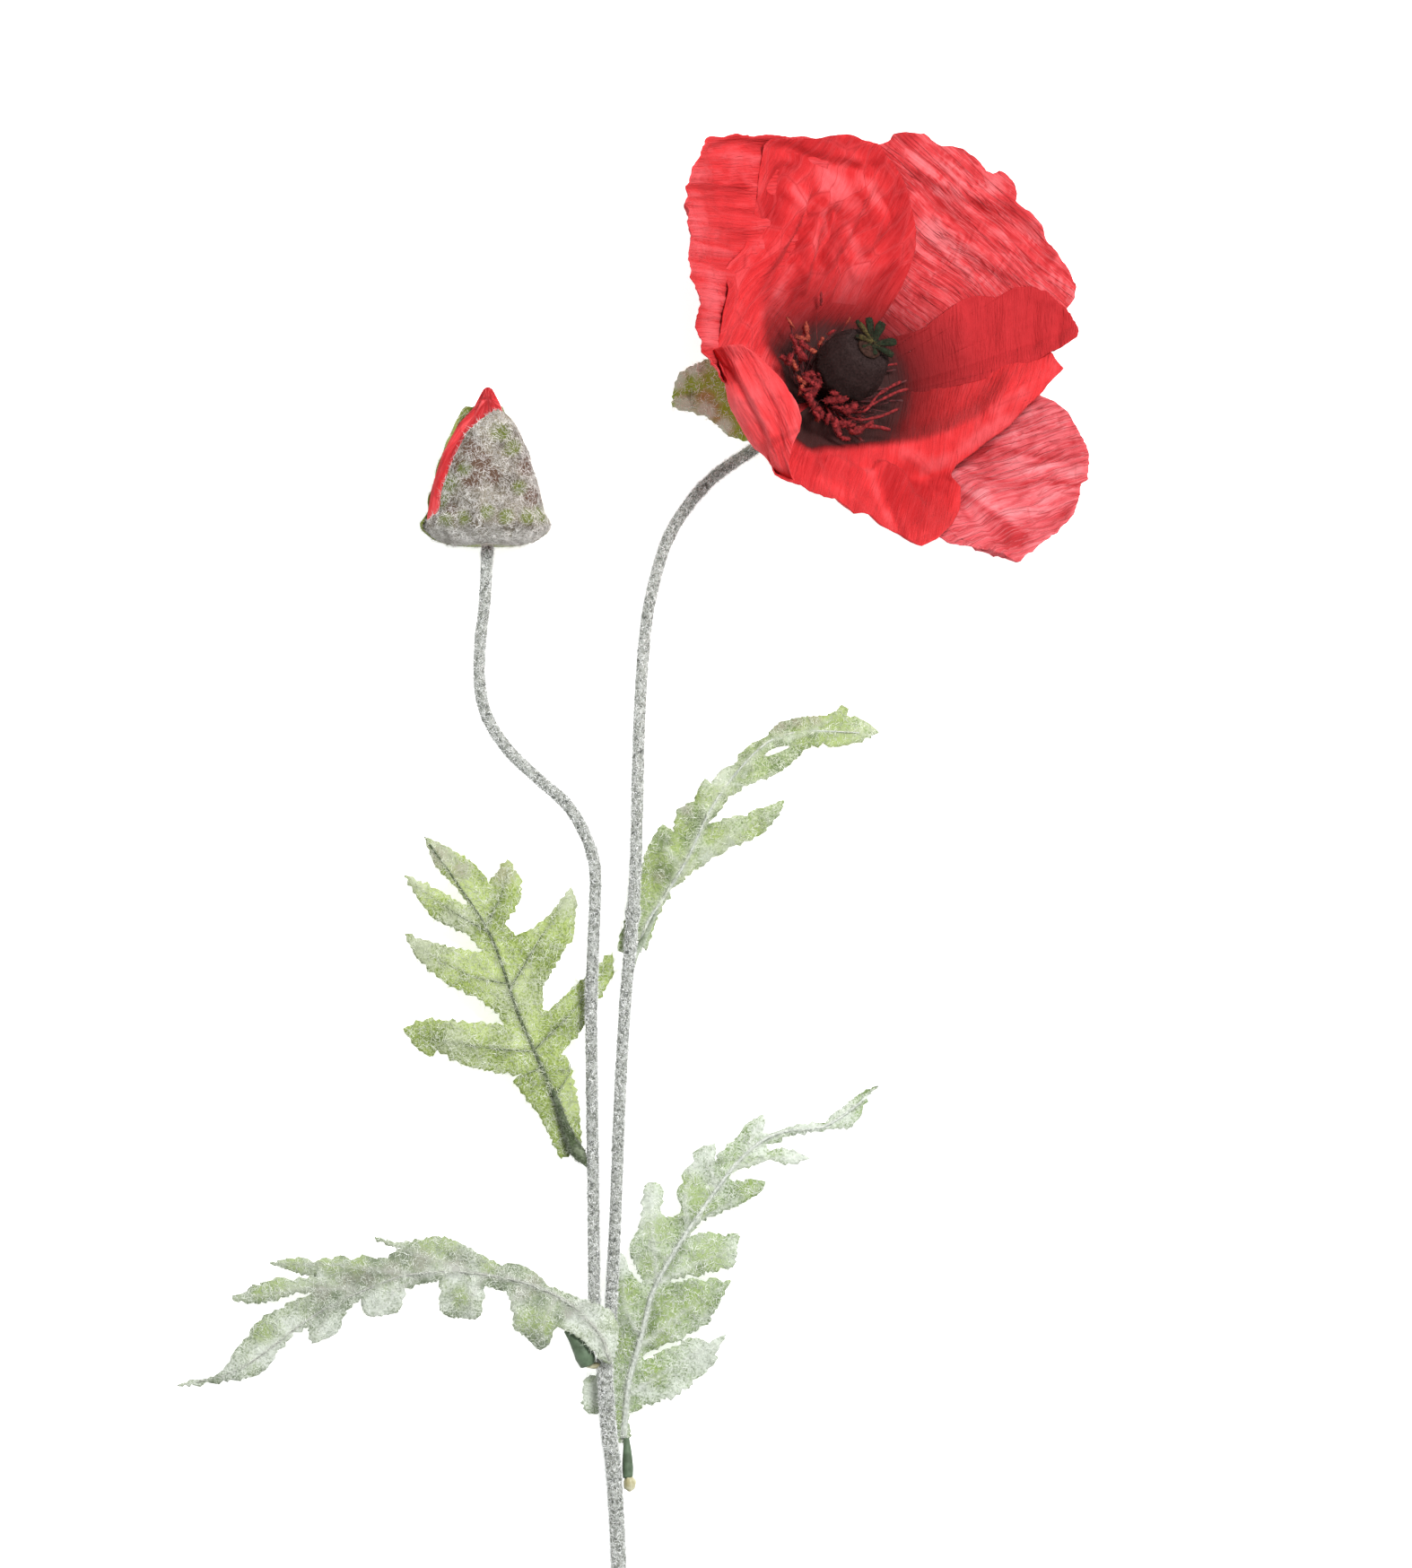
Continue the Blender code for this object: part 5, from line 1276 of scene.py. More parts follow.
def make_petal(name, cloth, seed):
    """A petal: a grid wrapped on its layer of the bowl, folded, crinkled, frilled and given a wall."""
    shape = PETALS[name]
    angles, shares, layers, short = column_ends(shape["edge"], PETAL_COLUMNS + 1, shape["layer"])
    piece, across, along = add_grid(PETAL_COLUMNS, PETAL_ROWS)
    column = np.rint(across * PETAL_COLUMNS).astype(int)
    fray = 0.006 * rough(column * 0.21, column * 0.0, seed)
    fray = fray + 0.004 * rough(column * 0.7, column * 0.0, seed + 3)
    share = shares[column] * along * (1 + fray)
    spot, _, inward = layered(angles[column], share, layers[column])
    spot[:, :2] += short[column] * smoothly(0.25, 1.0, along)[:, None]
    seen = spot[:, :2]
    runs_along, runs_across = grained(seen, shape["grain"], seed)
    pleats, creases, cross = crinkle(runs_along, runs_across, seed, shape["pleats"])
    depth = smoothly(0.1, 0.5, along)
    lift = depth * (pleats + creases + cross)
    lift = lift + 0.5 * depth * rough(seen[:, 0] * 0.12, seen[:, 1] * 0.12, seed + 5)
    lift = lift + 0.8 * smoothly(0.86, 1.0, along) * rough(column * 0.09, column * 0.0, seed + 7)
    rise = np.zeros(len(spot))
    for fold in shape["folds"]:
        if fold in (LEFT_LIP, FRONT_LIP):
            rise = fold_lift(seen, fold)
        else:
            lift = lift + fold_lift(seen, fold)
    spot = spot + inward * lift[:, None]
    spot[:, 2] += rise
    place_vertices(piece, pressed(spot))
    # Painted highlight on the pleats' ridges and painted shade in their hollows, read by the crepe.
    mark(piece, "ridge", np.clip(1.3 * pleats + 1.8 * creases + cross, -1, 1))
    mark(piece, "blotch_and_shade", blotch_and_shade_at(seen))
    # Painted shade and highlights along the folds, from the strokes.
    mark(piece, "shade_and_tone", shade_and_tone_at(name, seen))
    finish_petal(piece, name, cloth, runs_across, runs_along)


def finish_petal(piece, name, cloth, runs_across, runs_along):
    """Gives a petal its map, its wall and its crepe."""
    lay_map(piece, runs_across, runs_along)
    thicken(piece, PETAL_THICKNESS)
    finish_piece(piece, name, [cloth])


def make_flap(cloth, seed):
    """The front petal, whose free edge rolls over into the bloom."""
    angles, shares, layers, short = column_ends(FLAP_EDGE, FLAP_COLUMNS + 1, [(0, 0), (1, 0)])
    rows = PETAL_ROWS + FLAP_ROLL_ROWS
    flat = PETAL_ROWS / rows
    piece, across, along = add_grid(FLAP_COLUMNS, rows)
    column = np.rint(across * FLAP_COLUMNS).astype(int)
    rising = np.minimum(along / flat, 1.0)
    spot, ahead, inward = layered(angles[column], shares[column] * rising, layers[column])
    spot[:, :2] += short[column] * smoothly(0.25, 1.0, rising)[:, None]
    over = np.clip(along - flat, 0, 1) / (1 - flat)
    curl = read_smoothly(FLAP_CURL, across) * (1 + 0.03 * rough(across * 9, across * 0, seed))
    bend = (over * curl)[:, None]
    heading = np.radians(read_smoothly(FLAP_HEADING, across))
    over_it = np.column_stack([np.cos(heading), np.sin(heading), np.full(len(heading), 0.12)])
    upward = unit(0.3 * ahead + np.array((0, 0, 0.7)))
    spot = spot + upward * CURL_HEIGHT * np.sin(bend) + over_it * CURL_WIDTH * (1 - np.cos(bend))
    facing = unit(over_it * CURL_HEIGHT * np.cos(bend) - upward * CURL_WIDTH * np.sin(bend))
    wall = smoothly(0, 0.12, over)[:, None]
    facing = unit(inward * (1 - wall) + facing * wall)
    seen = spot[:, :2]
    runs_along, runs_across = grained(seen, FLAP_GRAIN, seed)
    pleats, creases, cross = crinkle(runs_along, runs_across, seed, FLAP_PLEATS)
    lift = smoothly(0.1, 0.5, along) * (pleats + creases + cross)
    for fold in FLAP_FOLDS:
        lift = lift - smoothly(0.5, 0.7, along) * fold_lift(seen, fold)
    place_vertices(piece, pressed(spot + facing * lift[:, None]))
    # The same painted highlight on the ridges and painted shade in the hollows.
    mark(piece, "ridge", np.clip(-1.3 * pleats - 1.8 * creases, -1, 1))
    mark(piece, "blotch_and_shade", np.zeros(len(spot)))
    # The flap's strokes of painted shade and highlight, at a little over half strength.
    mark(piece, "shade_and_tone", 0.6 * shade_and_tone_at("petal_outer_front", seen))
    finish_petal(piece, "petal_outer_front", cloth, runs_across, runs_along)


def lay_map(piece, u, v):
    """A map in millimetres: u across the pleats and v along them."""
    corners = np.empty(len(piece.data.loops), dtype=np.int32)
    piece.data.loops.foreach_get("vertex_index", corners)
    layer = piece.data.uv_layers.get("UVMap") or piece.data.uv_layers.new(name="UVMap")
    layer.data.foreach_set("uv", np.stack([u[corners], v[corners]], axis=1).astype(np.float32).ravel())


def make_receptacle(cloth, flock):
    """The swollen end of the stem that the petals are glued to."""
    piece = add_turned(RECEPTACLE_PROFILE, BLOOM_BASE, BLOOM_AXIS, segments=40, rings=24)
    finish_piece(piece, "receptacle", [cloth, flock])
    add_fibres(piece, per_mm2=5, length=0.8, width=0.12, seed=71)


def make_capsule(velvet):
    """The seed capsule: low ribs run up it to the stigma."""
    def ribs(radius, height, turn):
        return radius * (1 + 0.04 * np.cos(turn * 11) * smoothly(5, 12, height)), height
    piece = add_turned(CAPSULE_PROFILE, BLOOM_BASE, BLOOM_AXIS, segments=132, rings=60, relief=ribs)
    finish_piece(piece, "seed_capsule", [velvet, velvet])
    add_fibres(piece, per_mm2=5, length=0.5, width=0.1, seed=72, stand=0.8)


def on_bloom(x, y, height):
    """The place this far along the bloom's axis that is seen at x and y from above."""
    arm = np.array((x, y)) - BLOOM_BASE[:2]
    return np.array((x, y, BLOOM_BASE[2] + (height - arm @ BLOOM_AXIS[:2]) / BLOOM_AXIS[2]))


def make_stigma(velvet, ray_velvet, crown):
    """The stigma: separate furry fingers round a small boss, each with a green pad down its middle."""
    top = BLOOM_BASE + BLOOM_AXIS * STIGMA_HEIGHT + np.array(STIGMA_SHIFT)
    boss = add_turned(STIGMA_PROFILE, BLOOM_BASE, BLOOM_AXIS, segments=40, rings=16)
    boss.data.materials.append(crown)
    finger = add_turned(FINGER_PROFILE, np.zeros(3), UPRIGHT, segments=20, rings=22)
    finger_shape = (vertices_of(finger) - FORK) / MM
    parts = [boss]
    for heading, length, width, green in STIGMA_FINGERS:
        turn = math.radians(heading)
        seen = np.array((math.cos(turn), math.sin(turn), 0.0))
        ahead = seen - np.array((0, 0, 0.45 * (seen @ BLOOM_AXIS) / BLOOM_AXIS[2]))
        side = unit(np.cross(BLOOM_AXIS, ahead))
        for part_velvet, wide, long, lift in ((velvet, 1.0, 1.0, 0.0), (ray_velvet, green, 0.86, 0.3)):
            if part_velvet == ray_velvet and not green:
                continue
            part = copy_of(finger)
            place_vertices(
                part, top + BLOOM_AXIS * lift + ahead * (0.2 + finger_shape[:, 2:] * length * long)
                + side * finger_shape[:, :1] * width * wide * 1.15
                + unit(np.cross(ahead, side)) * finger_shape[:, 1:2] * (1.3 * wide),
            )
            part.data.materials.append(velvet)
            part.data.materials.append(ray_velvet)
            for face in part.data.polygons:
                face.material_index = int(part_velvet == ray_velvet)
            parts.append(part)
    bpy.data.objects.remove(finger)
    piece = join_parts(parts)
    finish_piece(piece, "stigma_disc", [])
    add_fibres(piece, per_mm2=9, length=0.45, width=0.1, seed=73, slot_index=0, stand=0.7)


def make_stamens(thread, strand, pollen, pale_pollen):
    """Threads that stand round the capsule, with furry anthers on one side of it, joined as one piece."""
    rng = np.random.default_rng(5)
    filament = add_tube([(0, 0, 0), (0, 0, 1.0), (0, 0, 2.0), (0, 0, 3.0)], radius=1.0, rings=14, sides=8)
    filament_shape = (vertices_of(filament) - FORK) / MM
    anther = add_turned(ANTHER_PROFILE, np.zeros(3), UPRIGHT, segments=12, rings=14)
    anther_shape = (vertices_of(anther) - FORK) / MM
    parts = []

    def add_thread(end, radius, cloth=thread):
        arm = end - BLOOM_BASE
        out = unit(arm - (arm @ BLOOM_AXIS) * BLOOM_AXIS)
        around = np.cross(BLOOM_AXIS, out)
        sway = rng.normal(0, 0.6, 2)
        route = np.array([
            BLOOM_BASE + out * 3.2 + BLOOM_AXIS * 3.6,
            BLOOM_BASE + out * 6.0 + BLOOM_AXIS * 5.4 + around * sway[0],
            BLOOM_BASE + arm * 0.72 + out * 1.2 + around * sway[1],
            end,
        ])
        part = copy_of(filament)
        middle = along_route(route, filament_shape[:, 2] / 3)
        section = out * filament_shape[:, :1] + around * filament_shape[:, 1:2]
        place_vertices(part, middle + section * radius)
        part.data.materials.append(cloth)
        parts.append(part)

    anthers = [(x, y, heading, length * 0.9, width * 0.8) for x, y, heading, length, width in ANTHERS]
    anthers += [
        (
            x + rng.normal(0, 1.1), y + rng.normal(0, 1.1), heading + rng.normal(0, 50),
            1.8 + 0.9 * rng.random(), 0.8 + 0.4 * rng.random(),
        )
        for x, y, heading, _, _ in 2 * [anther for anther in ANTHERS if anther[4] > 1.3]
    ]
    for k, (x, y, heading, length, width) in enumerate(anthers):
        centre = on_bloom(x, y, 12 + rng.normal(0, 0.5))
        turn = math.radians(heading)
        ahead = unit(np.array((math.cos(turn), math.sin(turn), 0.25)))
        # The anthers beyond the capsule hang on finer strands, and more of the far ones are paler and more
        # orange.
        if y < 220:
            add_thread(centre, 0.17)
        else:
            add_thread(centre, 0.06, strand)
        cross = unit(np.cross(ahead, (0, 0, 1.0)))
        bend = 0.16 * rng.normal() * (2 * anther_shape[:, 2:]) ** 2
        winding = anther_shape[:, 2] * 7 + anther_shape[:, 0] * 5
        lumps = 1 + 0.5 * rough(winding, anther_shape[:, 1] * 6, k * 1.7)
        lump = anther_shape * lumps[:, None]
        part = copy_of(anther)
        place_vertices(
            part, centre + cross * (lump[:, :1] + bend) * width
            + np.cross(ahead, cross) * lump[:, 1:2] * width + ahead * lump[:, 2:] * length,
        )
        part.data.materials.append(pale_pollen if rng.random() < (0.35 if y > 206 else 0.12) else pollen)
        parts.append(part)
    for x, y, radius in THREAD_ENDS:
        add_thread(on_bloom(x, y, 11 + rng.normal(0, 0.8)), radius)
    # Thick soft strands curl over on the open side.
    for path, radius in STRANDS:
        route = [on_bloom(x, y, 12.4) for x, y in path]
        arm = route[0] - BLOOM_BASE
        out = unit(arm - (arm @ BLOOM_AXIS) * BLOOM_AXIS)
        route = [BLOOM_BASE + out * 4 + BLOOM_AXIS * 3.6, BLOOM_BASE + out * 7 + BLOOM_AXIS * 7] + route
        part = add_tube(
            route, radius, rings=30, sides=8,
            swell=lambda at: 0.5 + smoothly(0.2, 0.5, at) * (0.4 + 0.5 * rough(at * 9, at * 0, radius * 9)),
        )
        part.data.materials.append(strand)
        parts.append(part)
    for _ in range(LOOSE_THREADS):
        turn = rng.random() * math.tau
        side = unit(np.cross(BLOOM_AXIS, (0, 0, 1.0)))
        out = side * math.cos(turn) + np.cross(side, BLOOM_AXIS) * math.sin(turn)
        add_thread(BLOOM_BASE + out * (8.6 + 4.5 * rng.random()) + BLOOM_AXIS * (8 + 4 * rng.random()), 0.13)
    for pattern in (filament, anther):
        bpy.data.objects.remove(pattern)
    piece = join_parts(parts)
    finish_piece(piece, "stamen_ring", [])
    pollen_slot = list(piece.data.materials).index(pollen)
    add_fibres(
        piece, per_mm2=10, length=0.5, width=0.12, seed=74, slot_index=pollen_slot, stand=0.8,
        only=above_threads,
    )


def above_threads(centre, normal):
    """Picks the side where the anthers are."""
    return np.where((centre - BLOOM_BASE) @ BLOOM_AXIS > 10, 1.0, 0.0) * (centre[:, 0] < 57)


def copy_of(pattern):
    """A copy of a modelled shape, with its own mesh."""
    part = pattern.copy()
    part.data = pattern.data.copy()
    bpy.context.scene.collection.objects.link(part)
    return part


# --- The bud --------------------------------------------------------------------------------------------

def make_bud_core(cloth):
    """The folded petals inside the bud, wound about its axis."""
    def wound(radius, height, turn):
        share = height / BUD_LENGTH
        fold = np.cos(turn * 4 + share * 5) * 0.6 + np.cos(turn * 11 + share * 9) * 0.25
        folded = radius - 0.4 * smoothly(0.3, 0.8, share) + 0.6 * fold * smoothly(0.1, 0.7, share)
        # The petals bulge out between the two halves of the husk.
        between = np.exp(-((np.degrees(turn) - 163) / 17) ** 2)
        folded = folded + 2.5 * between * smoothly(0, 0.15, share) * smoothly(0.95, 0.7, share)
        folded = folded - 3.2 * smoothly(0.16, 0.02, share)
        return np.maximum(folded, 0.02) * smoothly(-0.4, 1.2, radius), height
    piece = add_turned(BUD_CORE_PROFILE, BUD_BASE, BUD_AXIS, segments=96, rings=70, relief=wound)
    spot = (vertices_of(piece) - FORK) / MM - BUD_BASE
    height = spot @ BUD_AXIS
    turn = np.arctan2(spot[:, 2], spot[:, 0])
    # The folds' crests are painted paler and their hollows deeper: painted highlight and painted shade.
    mark(piece, "ridge", np.cos(turn * 11 + height / BUD_LENGTH * 9) * 0.6)
    mark(piece, "blotch_and_shade", np.zeros(len(spot)))
    lay_map(piece, turn * 9, height)
    finish_piece(piece, "bud_core", [cloth])


def bud_point(share, angle, lift):
    """Places this far over the bud's petals, by the share of its length and the angle about its axis."""
    heights = [height for _, height in BUD_CORE_PROFILE[1:]]
    radii = [radius for radius, _ in BUD_CORE_PROFILE[1:]]
    radius = np.interp(share * BUD_LENGTH, heights, radii) + lift
    side = np.array((1.0, 0, 0))
    up = np.cross(side, BUD_AXIS)
    turn = np.radians(angle)[:, None]
    around = side * np.cos(turn) + up * np.sin(turn)
    return BUD_BASE + BUD_AXIS * (share * BUD_LENGTH)[:, None] + around * radius[:, None]


def make_bud_sepal(name, cloth, flock, seed, fibres=8.0, flare=0.0):
    """Half of the bud's husk, flocked all over: its edge is wavy, and its foot rolls in under the bud."""
    spans = BUD_SEPALS[name]
    piece, across, along = add_grid(HUSK_COLUMNS, HUSK_ROWS)
    shares, firsts, lasts = (np.array(column) for column in zip(*spans))
    share = HUSK_FOOT + (shares[-1] - HUSK_FOOT) * along
    first, last = np.interp(share, shares, firsts), np.interp(share, shares, lasts)
    first = first + 2.4 * rough(share * 13, share * 0, seed)
    last = last + 2.4 * rough(share * 13, share * 0 + 5, seed)
    angle = first + (last - first) * across
    foot = np.exp(-((share - 0.12) / 0.06) ** 2)
    swell = 0.9 + flare * np.exp(-(across / 0.1) ** 2) * (1 + 0.6 * rough(share * 9, share * 0, seed + 4))
    swell = swell + 1.3 * foot + 0.5 * rough(angle * 0.05, share * 6, seed + 1)
    swell = swell - 2.6 * smoothly(0.1, -0.02, share)
    swell = swell + 0.35 * foot * rough(angle * 0.16, share * 3, seed + 2)
    # Below the bud's base the husk turns under, towards the stem.
    under = smoothly(0.03, HUSK_FOOT, share)
    spot = bud_point(np.maximum(share, 0.0), angle, swell)
    middle = BUD_BASE + BUD_AXIS * (0.6 + 0.3 * under)[:, None]
    spot = np.where((share < 0.03)[:, None], spot + (middle - spot) * (under * 0.86)[:, None], spot)
    spot = spot + BUD_AXIS * (smoothly(0.9, 1.0, along) * 0.8 * rough(across * 5, across * 0, seed))[:, None]
    place_vertices(piece, spot)
    mark_patches(piece, name, spot[:, :2])
    thicken(piece, HUSK_THICKNESS)
    finish_piece(piece, name, [cloth, flock])
    add_fibres(
        piece, per_mm2=fibres, length=1.4, width=0.1, seed=seed, stand=0.35,
        only=lambda centre, normal: np.where(normal[:, 2] > -0.15, 1.0, 0.15) * thinned(name, centre),
    )


# --- Leaves and sepals ----------------------------------------------------------------------------------

def distance_to(path, spots):
    """Distance from spots to a path of 2-D points, the share along it, and which side they are on."""
    path = np.array(path, dtype=float)
    best = np.full(len(spots), np.inf)
    share = np.zeros(len(spots))
    side = np.ones(len(spots))
    for i, (a, b) in enumerate(zip(path[:-1, :2], path[1:, :2])):
        run = b - a
        arm = spots - a
        u = np.clip(arm @ run / (run @ run), 0, 1)
        gap = np.linalg.norm(arm - u[:, None] * run, axis=1)
        nearer = gap < best
        best = np.where(nearer, gap, best)
        share = np.where(nearer, (i + u) / (len(path) - 1), share)
        side = np.where(nearer, np.sign(arm[:, 0] * run[1] - arm[:, 1] * run[0]), side)
    return best, share, side


def serrate(outline, seed, deep=1.0):
    """Cuts uneven forward teeth into an outline, between the corners that shape its lobes."""
    rng = np.random.default_rng(seed)
    points = np.array(outline, dtype=float)
    turning = np.sum(points[:, 0] * np.roll(points[:, 1], -1) - np.roll(points[:, 0], -1) * points[:, 1])
    outward = 1 if turning > 0 else -1
    cut = []
    for a, b in zip(points, np.roll(points, -1, axis=0)):
        run = b - a
        length = np.linalg.norm(run)
        out = np.array((run[1], -run[0])) / length * outward
        cut.append(a)
        gone = 0.3 + rng.random()
        while gone < length - 0.7:
            step = 0.7 + 1.9 * rng.random()
            tooth = deep * min(step, length - gone) * (0.05 + 0.28 * rng.random())
            lean = 0.55 + 0.35 * rng.random()
            cut.append(a + run / length * (gone + step * lean * 0.5) + out * tooth * 0.9)
            cut.append(a + run / length * min(gone + step * 0.85, length - 0.2) - out * tooth * 0.35)
            gone += step
    return np.array(cut)


def is_inside(outline, spots):
    """Which spots an outline goes round."""
    x, y = spots[:, 0], spots[:, 1]
    crossings = np.zeros(len(spots), dtype=int)
    for (x0, y0), (x1, y1) in zip(outline, np.roll(outline, -1, axis=0)):
        if y0 != y1:
            crossings += ((y0 > y) != (y1 > y)) & (x < x0 + (y - y0) * (x1 - x0) / (y1 - y0))
    return crossings % 2 == 1


def fill_outline(outline, hole=()):
    """Triangles over an outline and round its hole, fine enough to bend."""
    low, high = outline.min(axis=0), outline.max(axis=0)
    rows = []
    for k, y in enumerate(np.arange(low[1], high[1], LEAF_CELL * 0.87)):
        row = np.arange(low[0] + LEAF_CELL * 0.5 * (k % 2), high[0], LEAF_CELL)
        rows.append(np.column_stack([row, np.full_like(row, y)]))
    spots = np.concatenate(rows)
    spots = spots[is_inside(outline, spots)]
    closed = np.vstack([outline, outline[:1]])
    spots = spots[distance_to(closed, spots)[0] > LEAF_CELL * 0.45]
    count, holes = len(outline), len(hole)
    if holes:
        rim = np.array(hole, dtype=float)
        clear = distance_to(np.vstack([rim, rim[:1]]), spots)[0] > LEAF_CELL * 0.45
        spots = spots[clear & ~is_inside(rim, spots)]
        outline = np.vstack([outline, rim])
    places = [Vector(p) for p in np.vstack([outline, spots])]
    edges = [(i, (i + 1) % count) for i in range(count)]
    edges += [(count + i, count + (i + 1) % holes) for i in range(holes)]
    filled = delaunay_2d_cdt(places, edges, [list(range(count))], 1, 1e-5)
    places, faces = np.array([tuple(p) for p in filled[0]]), np.array(filled[2])
    if holes:
        faces = faces[~is_inside(rim, places[faces].mean(axis=1))]
    return places, faces


def make_leaf(name, cloth, flock, seed, wave=0.9, rib=1.1, fibres=4.0, teeth=1.1,
              cord=None, cord_width=0.4, side_width=0.0):
    """A leaf or sepal: a toothed outline filled, bent along its midrib, veined and given a wall."""
    shape = LEAVES[name]
    spots, faces = fill_outline(serrate(shape["outline"], seed, teeth), LEAF_HOLES.get(name, ()))
    mesh = bpy.data.meshes.new(name)
    mesh.from_pydata([(x, y, 0) for x, y in spots], [], faces.tolist())
    piece = bpy.data.objects.new(name, mesh)
    bpy.context.scene.collection.objects.link(piece)
    choose([piece])
    if mesh.polygons[0].normal.z < 0:
        mesh.flip_normals()
    height, on_rib, on_vein, share = leaf_surface(shape, spots, wave, rib, seed)
    place_vertices(piece, np.column_stack([spots, height]))
    mark(piece, "vein", np.maximum(on_rib * (1 - 0.25 * share), 0.85 * on_vein))
    mark_patches(piece, name, spots)
    bpy.ops.object.shade_smooth()
    thicken(piece, LEAF_THICKNESS)
    piece.data.materials.append(cloth)
    parts = [piece]
    if cord is not None:
        # The midrib stands up as a pressed cord, thinner towards the tip, and so do some leaves' veins.
        cords = [(shape["midrib"], cord_width)]
        cords += [(vein, side_width) for vein in shape["veins"] if side_width]
        for path, size in cords:
            run = along_route([(p[0], p[1], 0) for p in path], np.linspace(0.0, 0.97, 16))[:, :2]
            over = leaf_surface(shape, run, wave, rib, seed)[0] + 0.5 * size
            ridge = np.column_stack([run, over])
            part = add_tube(ridge, size, rings=48, sides=8, swell=lambda at: 1 - 0.68 * at)
            part.data.materials.append(cord)
            parts.append(part)
        piece = join_parts(parts)
    finish_piece(piece, name, [flock])
    last_slot = len(piece.data.materials) - 1
    add_fibres(
        piece, per_mm2=fibres, length=1.5, width=0.12, seed=seed, slot_index=last_slot, stand=0.22,
        only=facing_up,
    )


def leaf_surface(shape, spots, wave, rib, seed):
    """The height of a leaf's face at these places, and how far each is on its midrib and its veins."""
    midrib = np.array(shape["midrib"], dtype=float)
    away, share, side = distance_to(midrib, spots)
    height = np.interp(share, np.linspace(0, 1, len(midrib)), midrib[:, 2])
    height = height + shape["rise"] * away * side + shape["droop"] * away ** 2
    on_rib = np.exp(-(away / (rib * (1.1 - 0.7 * share))) ** 2)
    on_vein = np.zeros(len(spots))
    lobe = np.zeros(len(spots))
    for vein in shape["veins"]:
        gap, part, _ = distance_to(vein, spots)
        on_vein = np.maximum(on_vein, np.exp(-(gap / (0.8 - 0.3 * part)) ** 2) * (1 - 0.3 * part))
        lobe = np.maximum(lobe, np.exp(-(gap / 3.2) ** 2) * smoothly(0, 0.3, part))
    ripple = wave * rough(spots[:, 0] * 0.13, spots[:, 1] * 0.13, seed) * smoothly(0, 6, away)
    pucker = 0.3 * rough(spots[:, 0] * 0.42, spots[:, 1] * 0.42, seed + 1)
    height = height + ripple + pucker + 0.45 * on_rib + 0.28 * on_vein * (1 - on_rib) + 0.9 * lobe * wave
    return np.maximum(height, LEAF_THICKNESS / 2 + 0.05), on_rib, on_vein, share


# --- Stems, stalks and glue -----------------------------------------------------------------------------

def make_stem(name, route, radius, rings, cloth, flock, seed, collar=None):
    """A wire stem in flock: a little uneven along its length."""
    def swell(share):
        uneven = 0.97 + 0.06 * rough(share * rings * 0.12, share * 0, seed)
        if collar is not None:
            uneven = uneven + 0.28 * np.exp(-((share - collar) / 0.006) ** 2)
        return uneven
    piece = add_tube(route, radius - STEM_FLOCK, rings, sides=20, swell=swell)
    finish_piece(piece, name, [cloth, flock])
    add_fibres(piece, per_mm2=9, length=0.8, width=0.14, seed=seed, stand=0.5)


def make_stalk(name, cloth, widths, reach=None, flock=None):
    """A leaf's stalk: its width at even steps from the stem to the leaf, as shares of its radius."""
    def swell(share):
        return np.interp(share, np.linspace(0, 1, len(widths)), widths)
    piece = add_tube(reach or STALK_ROUTES[name], STALK_RADIUS, rings=30, sides=16, swell=swell)
    finish_piece(piece, name, [cloth] + ([flock] if flock else []))
    if flock:
        add_fibres(piece, per_mm2=9, length=0.9, width=0.13, seed=78, stand=0.5)


def make_bead(name, glue, seed):
    """A bead of dried glue, sagged and lumpy."""
    centre, half = GLUE_BEADS[name]
    bpy.ops.object.select_all(action="DESELECT")
    bpy.ops.mesh.primitive_ico_sphere_add(subdivisions=4, radius=1)
    piece = bpy.context.object
    ball = vertices_of(piece)
    lumps = 1 + 0.2 * np.array([noise.noise(Vector(p) * 1.6 + Vector((seed, 0, 0))) for p in ball])
    place_vertices(piece, np.array(centre) + ball * lumps[:, None] * half)
    bpy.ops.object.shade_smooth()
    finish_piece(piece, name, [glue])


# --- The whole spray ------------------------------------------------------------------------------------

def make_bloom():
    cloths = {kind: crepe(kind + "_pleated_crepe", *look) for kind, look in CREPES.items()}
    # Its colours are painted lighter than the flock's own, to make up for the bloom's shadow over the left
    # sepal.
    sepal = flocked(
        "husk_flock", "#6c7044", "#aab083", "#d8dcc2", cloud_mm=3,
        patches=(("brown_and_shade", "#a88452"), ("green", "#8ea32a"), ("frost", "#c6c9b8")),
    )
    hair = plain("pale_husk_fibre", "#dcdcc8", "#fbfbf4", 0.9, 2.0)
    for k, name in enumerate(PETALS):
        make_petal(name, cloths[PETALS[name]["crepe"]], 20.0 + 31 * k)
    make_flap(cloths["lip"], 17.0)
    make_receptacle(sepal, hair)
    velvet = plain("black_velvet", "#251b1a", "#312524", 0.95, 0.6, specular=0.05)
    make_capsule(velvet)
    green_velvet = plain("dark_green_velvet", "#161d13", "#242d1e", 0.95, 0.7, specular=0.1)
    ray_velvet = plain("olive_fibre", "#2e2a18", "#504526", 0.95, 0.8, specular=0.1)
    crown = plain("brown_velvet", "#2c1e1a", "#3f2b24", 0.95, 0.7, specular=0.05)
    make_stigma(green_velvet, ray_velvet, crown)
    thread = plain("stiffened_dark_thread", "#35191b", "#5e2224", 0.8, 1.0)
    pollen = plain("dyed_anther_crumb", "#4f191b", "#902e30", 0.9, 0.9, specular=0.1)
    pale_pollen = plain("pale_orange_anther_crumb", "#6c2a24", "#a8523e", 0.9, 0.9, specular=0.1)
    strand = plain("stiffened_red_strand", "#4f1a1c", "#8a2b2d", 0.9, 1.0, specular=0.1)
    make_stamens(thread, strand, pollen, pale_pollen)
    for k, name in enumerate(("bloom_sepal_left", "bloom_sepal_right")):
        make_leaf(name, sepal, hair, 81 + k, wave=1.0, fibres=2.2)


